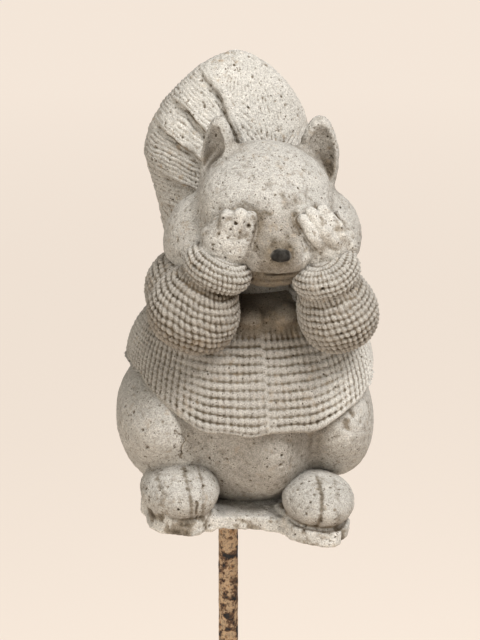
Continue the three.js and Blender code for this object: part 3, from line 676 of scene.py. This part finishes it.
SLEEVE_MIDDLE, SLEEVE_RIBS, SLEEVE_BEADS, ON_CUFF = 0.55, 0.43, 0.65, (1.2, 0.3)
ALONG_WANDER, ROUND_WANDER, CUFF_WANDER = ((0.28, 5.0, 9),), ((0.3, 4.0, 10),), ((0.2, 4.0, 11),)
SLEEVE_WOOL, SLEEVE_PATCHES = 0.9, ((0.25, 8.0, 12), (0.3, 2.7, 28))
SLEEVE_ROOM = (30, 28, 24), (30, 50, 16)
# Grime and painted shade on the sleeve, less of it on the cuff, and where the cuff begins
ARM_GRIME_AND_SHADE, ARM_GRIME_AND_SHADE_LEAST, OFF_CUFF = {RIGHT: 0.2, LEFT: 0.12}, 0.05, (-2, 4)


class Cuff:
    """A rolled cuff round the wrist."""

    def __init__(self, wrist, along):
        self.wrist, self.along = np.array(wrist), np.array(along)

    def reach(self):
        return self.wrist, CUFF_RADIUS + 2

    def distance(self, x, y, z):
        off = [a - c for a, c in zip((x, y, z), self.wrist)]
        up = sum(o * w for o, w in zip(off, self.along))
        out = np.sqrt(np.maximum(sum(o * o for o in off) - up * up, 0))
        over = out - CUFF_RADIUS + CUFF_ROUND
        ends = np.abs(up) - CUFF_LENGTH / 2 + CUFF_ROUND
        rim = np.sqrt(np.maximum(over, 0) ** 2 + np.maximum(ends, 0) ** 2)
        return rim + np.minimum(np.maximum(over, ends), 0) - CUFF_ROUND


def make_sleeve(side, stone):
    elbow, wrist = np.array(ELBOWS[side]), np.array(WRISTS[side])
    across, through, along = limb_axes(elbow, wrist)
    low, high = np.minimum(elbow, wrist) - SLEEVE_ROOM[0], np.maximum(elbow, wrist) + SLEEVE_ROOM[1]
    width, end = SLEEVE_WIDTHS[side], wrist + along * SLEEVE_ENDS[side]
    sleeve, cuff = limb(elbow, end, width, width, SLEEVE_TAPER), Cuff(CUFFS[side], along)
    clay = Clay(low, high, ((SHOULDERS[side], 0), (sleeve, 5), (cuff, 0.5)))
    clay.settle()

    def surface(points):
        off = points - elbow
        up = off @ along
        turn = np.arctan2(off @ through, off @ across) / (2 * np.pi)
        rows = up / SLEEVE_ROW + layered(points, ALONG_WANDER)
        shoulder = side * np.maximum(off @ through - SHOULDER_FROM, 0) / SHOULDER_STITCH
        stitches = turn * SLEEVE_STITCHES + shoulder + SLEEVE_TWIST[side] * up
        stitches += layered(points, ROUND_WANDER)
        wool = knit(rows, stitches, SLEEVE_RIBS, SLEEVE_BEADS)
        on_cuff = smooth(*ON_CUFF, np.abs(cuff.distance(*points.T)))
        cuff_up = (points - cuff.wrist) @ along
        out = np.linalg.norm(points - cuff.wrist - cuff_up[:, None] * along, axis=1)
        roll = np.arctan2(cuff_up, out - CUFF_RADIUS + CUFF_ROUND) * CUFF_ROUND
        cuff_rows = roll / CUFF_ROW + layered(points, CUFF_WANDER)
        wool += (knit(cuff_rows, stitches, SLEEVE_RIBS, SLEEVE_BEADS) - wool) * on_cuff
        worn = SLEEVE_WOOL + layered(points, SLEEVE_PATCHES)
        fold = CREASE_DEPTH * np.exp(-((cuff_up + CUFF_LENGTH / 2) / CREASE_WIDTH) ** 2)
        fold *= out < CUFF_RADIUS + 1
        return WOOL_GRAIN * weathering(points) + SLEEVE_DEPTH * worn * (wool - SLEEVE_MIDDLE) - fold

    # Grime and painted shade, darker off the cuff
    def off_cuff(points):
        return ARM_GRIME_AND_SHADE[side] * smooth(*OFF_CUFF, cuff.distance(*points.T)) + ARM_GRIME_AND_SHADE_LEAST

    name = "right_sleeve" if side == RIGHT else "left_sleeve"
    clay.detail(surface)
    clay.piece(name, stone, shading=off_cuff)


# Head
SKULL = Egg((6.5, -13, 124.3), (51, 54, 45))
NAPE = Egg((2.5, 4, 97), (58, 44, 58))
CHEEKS = [Egg((6.5 + side * 23, -8, 109.3), (30, 38, 34), taper=0.1) for side in (RIGHT, LEFT)]
BROW = Egg((-6.0, -24, 126.4), (26, 29, 24))
FACE = Egg((6.3, -31.2, 117.0), (45, 31, 31))
MUZZLE = Egg((4.8, -39.6, 111.6), (25, 27.0, 15.2))
LIP = Egg((5, -33.6, 105.6), (27, 25, 13))
CHIN = Egg((5, -32.4, 101.6), (25, 22.5, 9))
MOUTH = (Egg((4.8, -48.3, 105.2), (30, 7.6, 0.9)), Egg((5, -45.6, 102.0), (24, 6, 0.4)))
EARS = {
    RIGHT: Egg((-10.2, -6, 139.4), (14.5, 11, 34.5), turned(4, 4, -42), 0.18),
    LEFT: Egg((28.4, -6, 138.2), (15.8, 9.5, 33), turned(2, 1, 4), 0.1),
}
EAR_HOLLOW, EAR_OPENING, EAR_RIM = (0.7, 0.95, 0.76), (0.0, -3.7, 1.2), 1.5
HEAD_LUMPS = (
    (SKULL, 0), *((cheek, 4) for cheek in CHEEKS), (NAPE, 2), (BROW, 6),
    (FACE, 6), (MUZZLE, 7), (LIP, 3), (CHIN, 1.2),
)
MOUTH_BLEND, EAR_BLEND, PAW_BLEND = 1.5, 3.5, 0.9
LUMPS, LUMPY = ((0.35, 3.2, 13),), {"back": (-30, -44), "above": (100, 118)}
# A smudge round the nose, and places with painted shade, and with painted light where the amount is below 0
SMUDGE, SMUDGE_SIZE = 0.5, (6.5, 5.0, 5.0)
HEAD_SHADE = (
    (0.3, {"below": (107.5, 104), "back": (-26, -36)}),  # Chin
    (0.24, {"aside": (14, 4), "below": (136, 122), "back": (-28, -38)}),  # Between the paws
    (-0.5, {"left": (8, 11), "back": (-38, -42)}),  # Left paw
    (-0.12, {"across": (-10, -18), "back": (-36, -30)}),  # Right cheek
    (-0.12, {"aside": (7, 10), "above": (117, 121), "below": (134, 130), "back": (-26, -32)}),  # Brow
)

# Paws: a palm with its digits, each from its root to its tip
PALMS = {
    RIGHT: Egg((-13.4, -40.5, 115.5), (19.5, 15, 25), turned(0, 9, 0)),
    LEFT: Egg((24.4, -38.6, 112.0), (20, 14, 24), turned(0, -9, 0)),
}
DIGITS = {
    RIGHT: (
        Strand(((-16.8, -43.6, 116.0), (-13.8, -44.6, 127.4)), (3.5, 3.0)),
        Strand(((-12.0, -45.2, 115.0), (-9.0, -45.8, 128.2)), (3.6, 3.1)),
        Strand(((-8.0, -44.8, 114.0), (-4.9, -44.8, 126.6)), (3.4, 2.9)),
        Strand(((-18.0, -41.5, 114.0), (-20.0, -39.6, 120.4)), (3.0, 2.4)),
    ),
    LEFT: (
        Strand(((24.0, -43.6, 111.5), (18.4, -45.8, 119.4), (14.4, -44.6, 125.0)), (2.3, 2.7, 2.2)),
        Strand(((29.0, -43.0, 112.0), (23.2, -45.6, 120.4), (18.2, -43.6, 127.2)), (2.3, 2.8, 2.3)),
        Strand(((33.2, -40.6, 113.0), (27.8, -43.4, 120.8), (22.8, -41.4, 127.2)), (2.3, 2.8, 2.3)),
        Strand(((34.8, -37.4, 112.0), (32.8, -39.0, 117.6), (30.0, -37.0, 123.4)), (2.4, 2.5, 2.2)),
    ),
}
DIGIT_BLEND = {RIGHT: 1.5, LEFT: 0.8}
# Small bites out of the knuckles: how far across and up they lie, and their radii
KNUCKLE_PITS = (
    (-15.4, 127.8, 0.6), (-11.0, 126.0, 0.8), (-6.0, 124.6, 0.7), (-9.4, 122.4, 0.6), (-12.8, 123.6, 0.6),
    (-4.2, 121.6, 0.6), (-13.9, 120.4, 0.5), (-6.4, 119.0, 0.5), (-8.0, 126.4, 0.5), (-17.2, 121.8, 0.6),
)


def make_head(stone):
    clay = Clay((-38, -60, 88), (52, 26, 162), HEAD_LUMPS)
    for line in MOUTH:
        clay.cut(line, MOUTH_BLEND)
    for outside in EARS.values():
        centre = tuple(outside.centre + np.array(EAR_OPENING) @ outside.axes)
        size = tuple(np.multiply(outside.size, EAR_HOLLOW))
        clay.add(Hollowed(outside, Egg(centre, size, outside.axes, outside.taper), EAR_RIM), EAR_BLEND)
    for side in (RIGHT, LEFT):
        clay.add(Joined((PALMS[side], *DIGITS[side]), DIGIT_BLEND[side]), PAW_BLEND)
    clay.settle()

    def surface(points):
        return weathering(points) + layered(points, LUMPS) * within(points, LUMPY)

    clay.detail(surface)
    clay.carve([clay.front(x, z) for x, z, _ in KNUCKLE_PITS], [radius for *_, radius in KNUCKLE_PITS])
    low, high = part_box("nose")
    nose = (np.array(low) + high) / 2 / MM - FIGURE_AT

    # The nose's smudge, with painted shade and painted light about the face
    def about_mouth(points):
        smudge = SMUDGE * np.exp(-np.sum(((points - nose) / SMUDGE_SIZE) ** 2, axis=1))
        return smudge + sum(amount * within(points, ranges, nose[0]) for amount, ranges in HEAD_SHADE)

    clay.piece("head_and_paws", stone, shading=about_mouth)


# Tail
TAIL_SIZE, TAIL_ROOT, TAIL_TOP, TAIL_CROWN, TAIL_BEHIND = (66.0, 40.0), 30.0, 173.8, 41.0, 31.0
TAIL_BOTTOM, TAIL_SWELL, CROWN_ROUND, TIP_ASIDE, TIP_AHEAD = 5.5, 1.9, (1.7, 0.65), 2.0, 5.0
TAIL_MIDDLE, TAIL_REACH = (0.0, TAIL_BEHIND, 90.0), 92.0
FUR_PITCH, FUR_DEPTH, FUR_ROUND, FUR_MIDDLE, FUR_BLUNT, FUR_GRAIN = 1.7, 0.7, 46, 0.7, 0.6, 0.9
FUR_WANDER, FUR_LEFT = ((1.0, 9.0, 15), (0.4, 3.5, 17)), 0.85
FUR_PATCHES, FUR_LIMITS = ((0.8, 6.0, 16),), (0.2, 1.3)
CROWN_WORN, WORN_CROWN = 0.8, {"across": (10, 24), "above": (142, 156), "back": (26, 18)}
# How stained the tail is, and where painted light makes the crown lighter
TAIL_STAINED, LIT_CROWN = 0.6, {"above": (128, 150)}
# The locks overlap like shingles. Beside the head, these are their lower edges, as places across and up.
FRONT_EDGES = (
    ((-12.4, 167), (-11.1, 164), (-6.3, 157.8), (-2.8, 150), (0.2, 141), (2.0, 130)),
    ((-25.5, 159.2), (-15.7, 148.8), (-6.9, 139.5), (-3.5, 133)),
    ((-28.5, 145.8), (-16.3, 136.1), (-10, 129)),
    ((-34, 130), (-16.2, 122.5), (-8, 117)),
    ((-33.8, 116.4), (-15.6, 112.2), (-8, 108)),
)
# The others lie one below the other: their tilt, their share of the width, and their size
LOCK_TILT, LOCK_REACH, LOCK_TOP, LOCK_STEP, LOCK_COUNT = math.radians(34), 0.54, 145.8, 13.5, 8
LOCK_WIDTH, LOCK_LENGTH, LOCK_PROUD, LOCK_FADE = 12.0, 28.0, 2.0, 8.0
LOCK_SPAN, CROWN_REACH, LOCK_OVERLAP, LOCK_SIDES = 20.0, 3.0, 3, (0, 14)
FRONT_FIRST = {RIGHT: 3, LEFT: 2}
LOCK_WANDER, LOCK_LIP, LOCK_END = ((1.0, 7.0, 24),), (-1.0, 1.6), 3.0
GROOVE_DEPTH, GROOVE_BELOW, GROOVE_WIDTH = 0.45, 1.2, 1.0
FUR_FROM, FUR_PAST = -0.4, 6


def tail_fullness(height):
    crown = TAIL_TOP - TAIL_CROWN
    up = np.clip((height - crown) / TAIL_CROWN, 0, 1)
    rise = np.clip((height - TAIL_BOTTOM) / (crown - TAIL_BOTTOM), 0, 1)
    root = TAIL_ROOT / TAIL_SIZE[0]
    crowned = (1 - up ** CROWN_ROUND[0]) ** CROWN_ROUND[1]
    return np.where(height > crown, crowned, root + (1 - root) * rise ** TAIL_SWELL)


def tail_middle(height):
    """The tail's middle line: it sways forward towards its tip, which leans a little aside."""
    up = np.clip((height - TAIL_TOP + TAIL_CROWN) / TAIL_CROWN, 0, 1)
    return TIP_ASIDE * up * up, TAIL_BEHIND - TIP_AHEAD * up * up


class Tail:
    """The bushy column of the tail."""

    def reach(self):
        return np.array(TAIL_MIDDLE), TAIL_REACH

    def distance(self, x, y, z):
        full = np.maximum(tail_fullness(z), 0.02)
        aside, behind = tail_middle(z)
        dx, dy = x - aside, y - behind
        scaled = np.sqrt((2 * dx / TAIL_SIZE[0]) ** 2 + (2 * dy / TAIL_SIZE[1]) ** 2)
        out = np.sqrt(dx * dx + dy * dy) * (1 - full / np.maximum(scaled, 1e-3))
        return np.maximum(np.maximum(out, z - TAIL_TOP), TAIL_BOTTOM - z)


def lock_edges(way):
    """The lower edges of the locks on the front (-1) or the back (1) of the tail."""
    if way < 0:
        yield from FRONT_EDGES
    for side in (RIGHT, LEFT):
        first = 0 if way > 0 else FRONT_FIRST[side]
        across, up = side * math.sin(LOCK_TILT), math.cos(LOCK_TILT)
        for height in [LOCK_TOP - i * LOCK_STEP for i in range(first, LOCK_COUNT)]:
            aside = tail_middle(height)[0] + side * LOCK_REACH * tail_fullness(height) * TAIL_SIZE[0] / 2
            low, out = height - abs(across) * LOCK_WIDTH / 2, aside + side * up * LOCK_WIDTH / 2
            yield tuple(sorted((out + t * across, low + t * up) for t in (-LOCK_LENGTH / 2, LOCK_LENGTH / 2)))


def edge_place(edge, points):
    """How far points lie above an edge, seen from the front, and how far past its ends."""
    nearest, above = np.full(len(points), np.inf), np.zeros(len(points))
    for (ax, az), (bx, bz) in zip(edge, edge[1:]):
        wx, wz = bx - ax, bz - az
        long = math.hypot(wx, wz)
        px, pz = points[:, 0] - ax, points[:, 2] - az
        share = np.clip((px * wx + pz * wz) / long ** 2, 0, 1)
        off = np.hypot(px - share * wx, pz - share * wz)
        closer = off < nearest
        nearest = np.where(closer, off, nearest)
        above = np.where(closer, (wx * pz - wz * px) / long, above)
    return above, nearest - np.abs(above)


def locks(points):
    """How proud the locks stand at points, the run of their fur, and where they are."""
    proud, fur, owner = np.zeros(len(points)), np.zeros(len(points)), np.full(len(points), np.inf)
    _, behind = tail_middle(points[:, 2])
    flat = points[:, [0, 2]]
    for way in (-1, 1):
        here = np.nonzero((points[:, 1] - behind) * way > 0)[0]
        for edge in lock_edges(way):
            reach = CROWN_REACH if edge is FRONT_EDGES[0] else LOCK_STEP + LOCK_OVERLAP
            low, high = np.min(edge, axis=0) - LOCK_SPAN, np.max(edge, axis=0) + LOCK_SPAN
            near = here[np.all((flat[here] > low) & (flat[here] < high), axis=1)]
            above, past = edge_place(edge, points[near])
            above = above + layered(points[near], LOCK_WANDER)
            lip = smooth(*LOCK_LIP, above) * np.exp(-np.maximum(above - LOCK_LIP[1], 0) / LOCK_FADE)
            groove = GROOVE_DEPTH * np.exp(-((above + GROOVE_BELOW) / GROOVE_WIDTH) ** 2)
            proud[near] += LOCK_PROUD * np.exp(-(past / LOCK_END) ** 2) * (lip - groove)
            mine = (above > FUR_FROM) & (above + past < np.minimum(owner[near], reach)) & (past < FUR_PAST)
            owner[near[mine]] = (above + past)[mine]
            fur[near[mine]] = above[mine] / FUR_PITCH * np.pi
    return proud * smooth(*LOCK_SIDES, np.abs(points[:, 1] - behind)), fur, owner < np.inf


def make_tail(stone):
    clay = Clay((-44, 0, 0), (44, 60, 182), ((Tail(), 0),))
    clay.settle(lambda points: unevenness(points) + locks(points)[0], LOCK_PROUD + 2 * BAND)

    def surface(points):
        aside, behind = tail_middle(points[:, 2])
        turn = np.arctan2((points[:, 1] - behind) / TAIL_SIZE[1], (points[:, 0] - aside) / TAIL_SIZE[0])
        _, run, owned = locks(points)
        fur = np.where(owned, run, turn * FUR_ROUND) + layered(points, FUR_WANDER)
        strands = np.abs(np.sin(fur)) ** FUR_BLUNT
        left = np.clip(FUR_LEFT + layered(points, FUR_PATCHES), *FUR_LIMITS)
        left *= 1 - CROWN_WORN * within(points, WORN_CROWN)
        return FUR_GRAIN * weathering(points) + FUR_DEPTH * left * (strands - FUR_MIDDLE)

    clay.detail(surface)
    # Painted light makes the crown lighter
    clay.piece("tail", stone, stained=TAIL_STAINED, shading=lambda points: -GRIME_AND_SHADE * within(points, LIT_CROWN))


# Materials
def grey(value):
    return (value, value, value)


# Colour ramps
STONE = ((0.3, (0.49, 0.463, 0.418)), (0.7, (0.545, 0.518, 0.473)))
PATCHES = ((0.35, grey(0.92)), (0.65, grey(1.04)))
GRAINS = ((0.34, grey(0.58)), (0.66, grey(1.17)))
GATHERED = ((0.4, grey(0.15)), (0.58, grey(1.0)))
# Sunk places darker with dirt and painted shade, proud places lighter with a painted highlight
DIRT_SHADE_AND_HIGHLIGHT = ((0.1, (0.2, 0.165, 0.125)), (0.4, (0.52, 0.475, 0.415)), (0.58, grey(0.95)), (0.9, grey(1.1)))
# Painted shade: lighter in the open, darker and warmer in hollows
HOLLOW_SHADE = ((0.0, grey(1.16)), (0.2, grey(1.0)), (0.75, (0.38, 0.33, 0.27)))
STONE_ROUGHNESS = ((0.3, grey(0.86)), (0.7, grey(0.97)))
RUST = (
    (0.38, (0.02, 0.018, 0.018)), (0.44, (0.14, 0.075, 0.04)), (0.49, (0.42, 0.3, 0.19)),
    (0.56, (0.44, 0.325, 0.215)), (0.61, (0.3, 0.17, 0.08)), (0.68, (0.1, 0.105, 0.12)),
)
SPECKS = ((0.36, (0.22, 0.18, 0.16)), (0.5, grey(1.0)), (0.7, (1.25, 1.15, 1.0)))
NOSE = ((0.4, (0.014, 0.012, 0.01)), (0.6, (0.03, 0.027, 0.023)), (0.75, (0.09, 0.082, 0.072)))
# Single colours
STAIN, HOLE, NOSE_RIM, PLASTIC = (0.33, 0.245, 0.155), (0.24, 0.2, 0.16), (0.2, 0.175, 0.145), (0.05, 0.05, 0.048)
BACKGROUND = (0.93, 0.815, 0.71)
# Painted pinholes: their spacing, and the radii between which they fade
FINE_HOLES, COARSE_HOLES = (1.7, 0.2, 0.36), (6.5, 0.3, 0.52)
RELIEF_RANGE, GLOW_REACH, GLOW_SHARES = (-1.0, 0.6), (0.25, 1.6), (0.55, 0.95)


class Paint:
    """A material and its nodes."""

    def __init__(self, name):
        self.material = bpy.data.materials.new(name)
        self.material.use_nodes = True
        self.nodes, self.links = self.material.node_tree.nodes, self.material.node_tree.links
        self.shader = self.nodes["Principled BSDF"]

    def feed(self, node, inputs):
        """Sets the inputs of a node to values or colours, or links them to the sockets of others."""
        for label, value in inputs.items():
            if isinstance(value, bpy.types.NodeSocket):
                self.links.new(value, node.inputs[label])
            else:
                node.inputs[label].default_value = (*value, 1) if isinstance(value, tuple) else value
        return node

    def node(self, kind, inputs, **settings):
        node = self.nodes.new("ShaderNode" + kind)
        for label, value in settings.items():
            setattr(node, label, value)
        return self.feed(node, inputs)

    @cached_property
    def place(self):
        return self.node("TexCoord", {}).outputs["Object"]

    def noise(self, size, detail=3.0, roughness=0.6):
        inputs = {"Vector": self.place, "Scale": 1 / (size * MM), "Detail": detail, "Roughness": roughness}
        return self.node("TexNoise", inputs).outputs["Fac"]

    def attribute(self, name):
        return self.node("Attribute", {}, attribute_name=name).outputs["Fac"]

    def ramp(self, source, stops):
        node = self.node("ValToRGB", {"Fac": source})
        elements = node.color_ramp.elements
        for i, (place, colour) in enumerate(stops):
            element = elements[i] if i < 2 else elements.new(place)
            element.position = place
            element.color = (*colour, 1)
        return node.outputs["Color"]

    def pinholes(self, spacing, inner, outer):
        """Dark in pinholes, white elsewhere."""
        cells = self.node("TexVoronoi", {"Vector": self.place, "Scale": 1 / (spacing * MM)})
        return self.ramp(cells.outputs["Distance"], ((inner / spacing, HOLE), (outer / spacing, grey(1.0))))

    def spread(self, value, low, high, least=0.0, most=1.0):
        inputs = {"Value": value, "From Min": low, "From Max": high, "To Min": least, "To Max": most}
        return self.node("MapRange", inputs).outputs["Result"]

    def math(self, operation, first, second):
        return self.node("Math", {0: first, 1: second}, operation=operation).outputs[0]

    def mixed(self, factor, first, second, how="MIX"):
        inputs = {0: factor, 6: first, 7: second}
        return self.node("Mix", inputs, data_type="RGBA", blend_type=how).outputs[2]

    def times(self, colour, other, factor=1.0):
        return self.mixed(factor, colour, other, "MULTIPLY")

    def bump(self, height, strength, depth):
        node = self.node("Bump", {"Height": height, "Strength": strength, "Distance": depth * MM})
        self.feed(self.shader, {"Normal": node.outputs["Normal"]})


def cast_stone():
    paint = Paint("cast_stone")
    middle, sand = paint.noise(6), paint.noise(0.55, 2.0, 0.7)
    colour = paint.times(paint.ramp(paint.noise(26), STONE), paint.ramp(middle, PATCHES))
    colour = paint.times(colour, paint.ramp(sand, GRAINS), 0.9)
    holed = paint.times(colour, paint.pinholes(*FINE_HOLES))
    colour = paint.mixed(paint.ramp(middle, GATHERED), colour, holed)
    colour = paint.times(colour, paint.pinholes(*COARSE_HOLES))
    # Darker where the surface is sunk and lighter where it is proud: dirt and painted shade in the dips, a
    # painted highlight on the tops
    colour = paint.times(colour, paint.ramp(paint.spread(paint.attribute("relief"), *RELIEF_RANGE), DIRT_SHADE_AND_HIGHLIGHT))
    # Painted shade, darker in hollows and lighter in the open
    colour = paint.times(colour, paint.ramp(paint.attribute("painted_shade"), HOLLOW_SHADE))
    colour = paint.mixed(paint.attribute("stain"), colour, STAIN)
    rough = paint.ramp(middle, STONE_ROUGHNESS)
    paint.feed(paint.shader, {"Base Color": colour, "Roughness": rough, "Specular IOR Level": 0.25})
    paint.bump(sand, 1.0, 0.55)
    return paint.material


def rust():
    """Old steel: scale and rust in tan, brown and blue-grey."""
    paint = Paint("rusted_steel")
    flakes = paint.noise(1.3, 3.0, 0.7)
    colour = paint.times(paint.ramp(paint.noise(5.5, 4.0, 0.62), RUST), paint.ramp(flakes, SPECKS), 0.9)
    paint.feed(paint.shader, {"Base Color": colour, "Metallic": 0.15, "Roughness": 0.78})
    paint.bump(flakes, 0.6, 0.3)
    return paint.material


def nose_paint():
    """Dark paint, rubbed through to the stone at its rim."""
    paint = Paint("nose_paint")
    colour = paint.mixed(paint.attribute("worn"), paint.ramp(paint.noise(2.2, 4.0, 0.65), NOSE), NOSE_RIM)
    paint.feed(paint.shader, {"Base Color": colour, "Roughness": 0.9, "Specular IOR Level": 0.15})
    return paint.material


def sleeve_plastic():
    paint = Paint("sleeve_plastic")
    paint.feed(paint.shader, {"Base Color": PLASTIC, "Roughness": 0.5})
    return paint.material


def floor_glow():
    """The background's colour, which glows for the camera, least near the object, where its shadow falls."""
    paint = Paint("floor")
    paint.feed(paint.shader, {"Base Color": BACKGROUND, "Roughness": 0.9})
    glow = paint.node("Emission", {"Color": BACKGROUND})
    away = paint.node("VectorMath", {0: paint.place}, operation="LENGTH").outputs["Value"]
    rays = paint.node("LightPath", {}).outputs
    seen = rays["Is Camera Ray"]
    for other in ("Is Glossy Ray", "Is Transmission Ray"):
        seen = paint.math("MAXIMUM", seen, rays[other])
    share = paint.math("MULTIPLY", seen, paint.spread(away, *GLOW_REACH, *GLOW_SHARES))
    mix = paint.node("MixShader", {0: share, 1: paint.shader.outputs[0], 2: glow.outputs[0]})
    paint.feed(paint.nodes["Material Output"], {"Surface": mix.outputs[0]})
    return paint.material


# Nose, and the rod with its sleeve, which are in millimetres from the soil line
ROD_CHAMFER, ROD_RING, SCALE_DEPTH, SCALE_MIDDLE = 0.5, 0.8, 0.22, 0.5
SCALE_PITS = ((0.35, 3.0, 21), (0.25, 1.3, 22))
SLEEVE_WALL_GAP, SLEEVE_EDGE, HUB, SIDES = 0.3, 0.5, 0.01, 48
NOSE_ROOM, NOSE_TIP_UP, NOSE_WEAR, NOSE_RAGGED = (7, 7, 6), 0.1, (0.8, 1.3), ((0.25, 1.6, 27),)


def spun(name, profile, material, body, node, shape=None):
    """A closed piece turned about the rod's line from a profile of radii and heights."""
    turns = np.linspace(0, 2 * np.pi, SIDES, endpoint=False)
    rings = np.array([[(r * math.cos(t), r * math.sin(t), z) for t in turns] for r, z in profile])
    corners = rings.reshape(-1, 3)
    if shape:
        out = np.linalg.norm(corners[:, :2], axis=1, keepdims=True)
        corners[:, :2] *= 1 + shape(corners)[:, None] / np.maximum(out, 1e-6)
    faces = []
    for a in range(0, len(corners) - SIDES, SIDES):
        for j in range(SIDES):
            k = (j + 1) % SIDES
            faces.append((a + j, a + k, a + SIDES + k, a + SIDES + j))
    faces.append(tuple(reversed(range(SIDES))))
    faces.append(tuple(range(len(corners) - SIDES, len(corners))))
    mesh = bpy.data.meshes.new(name)
    mesh.from_pydata((corners * MM).tolist(), [], faces)
    mesh.shade_smooth()
    piece = linked(name, mesh, material)
    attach(piece, body)
    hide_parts(node)


def make_nose(material):
    low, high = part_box("nose")
    centre = (np.array(low) + high) / 2 / MM - FIGURE_AT
    size = (np.array(high) - low) / MM
    clay = Clay(centre - NOSE_ROOM, centre + NOSE_ROOM, ((Egg(tuple(centre), tuple(size)), 0),))
    clay.settle()
    clay.detail(weathering)
    piece = clay.piece("nose_tip", material, "nose_paint", "nose")
    corners = np.empty(3 * len(piece.data.vertices))
    piece.data.vertices.foreach_get("co", corners)
    corners = corners.reshape(-1, 3) / MM - FIGURE_AT
    off = (corners - centre) / (size / 2)
    rim = np.hypot(off[:, 0], off[:, 2] - NOSE_TIP_UP) + layered(corners, NOSE_RAGGED)
    tell(piece.data, "worn", smooth(*NOSE_WEAR, rim))


def make_sleeve_tube(material):
    low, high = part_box("rod_sleeve")
    radius = (high.x - low.x) / 2 / MM
    bottom, top = low.z / MM, high.z / MM
    rod_low, rod_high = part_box("stake_rod")
    bore = (rod_high.x - rod_low.x) / 2 / MM + SLEEVE_WALL_GAP
    end = rod_high.z / MM + SLEEVE_WALL_GAP
    profile = [
        (HUB, end), (bore, end), (bore, bottom + SLEEVE_EDGE), (bore + SLEEVE_EDGE, bottom),
        (radius - SLEEVE_EDGE, bottom), (radius, bottom + SLEEVE_EDGE), (radius, top - SLEEVE_EDGE),
        (radius - SLEEVE_EDGE, top), (HUB, top),
    ]
    spun("rod_sleeve_tube", profile, material, "sleeve", "rod_sleeve")


def make_rod(material):
    low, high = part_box("stake_rod")
    radius = (high.x - low.x) / 2 / MM
    bottom, top = low.z / MM, high.z / MM
    heights = np.arange(bottom + ROD_CHAMFER, top - ROD_CHAMFER, ROD_RING)
    ends = radius - ROD_CHAMFER
    profile = [(ends, bottom), *[(radius, z) for z in heights], (radius, top - ROD_CHAMFER), (ends, top)]

    def scale(points):
        return -SCALE_DEPTH * np.clip(SCALE_MIDDLE + layered(points, SCALE_PITS), 0, 1)

    spun("rusty_rod", profile, material, "stake", "stake_rod", scale)


stone = cast_stone()
make_base(stone)
make_belly(stone)
make_jumper(stone)
make_sleeve(RIGHT, stone)
make_sleeve(LEFT, stone)
make_head(stone)
make_tail(stone)
make_nose(nose_paint())
make_rod(rust())
make_sleeve_tube(sleeve_plastic())

# Camera: a long lens at the photograph's angle
TARGET = Vector((0.0016, -0.018, 0.176))
AZIMUTH, ELEVATION, DISTANCE, FIELD, SENSOR = -10, 18, 1.2, 0.246, 24.0


def placed(name, data, azimuth, elevation, distance):
    """A camera or a lamp that looks at the target from angles in degrees."""
    a, e = math.radians(azimuth), math.radians(elevation)
    way = Vector((math.sin(a) * math.cos(e), -math.cos(a) * math.cos(e), math.sin(e)))
    thing = bpy.data.objects.new(name, data)
    thing.location = TARGET + way * distance
    thing.rotation_euler = (-way).to_track_quat("-Z", "Y").to_euler()
    bpy.context.scene.collection.objects.link(thing)
    return thing


camera_data = bpy.data.cameras.new("camera")
camera_data.sensor_fit = "VERTICAL"
camera_data.sensor_height = SENSOR
camera_data.lens = SENSOR * DISTANCE / FIELD
bpy.context.scene.camera = placed("camera", camera_data, AZIMUTH, ELEVATION, DISTANCE)
bpy.context.scene.view_settings.view_transform = "Standard"

# Floor
FLOOR_HALF, FLOOR_UP = 9, CAD_BOX[0].z
floor_mesh = bpy.data.meshes.new("floor")
floor_corners = [(FLOOR_HALF * x, FLOOR_HALF * y, FLOOR_UP) for x, y in ((-1, -1), (1, -1), (1, 1), (-1, 1))]
floor_mesh.from_pydata(floor_corners, [], [(0, 1, 2, 3)])
floor = linked("floor", floor_mesh, floor_glow())

# Light: a pale sky, and lamps with their azimuth, elevation, distance, size, power and colour
SKY, SKY_STRENGTH = (1.0, 0.945, 0.87, 1), 0.32
LAMPS = {"key": (40, 57, 1.3, 0.75, 23.5, (1, 1, 1)), "fill": (-38, 16, 1.5, 1.2, 11.7, (1.0, 0.965, 0.9))}
world = bpy.data.worlds.new("studio")
world.use_nodes = True
world.node_tree.nodes["Background"].inputs["Color"].default_value = SKY
world.node_tree.nodes["Background"].inputs["Strength"].default_value = SKY_STRENGTH
bpy.context.scene.world = world
for name, (azimuth, elevation, distance, size, power, colour) in LAMPS.items():
    lamp = bpy.data.lights.new(name, "AREA")
    lamp.shape, lamp.size, lamp.energy, lamp.color = "DISK", size, power, colour
    placed(name, lamp, azimuth, elevation, distance)
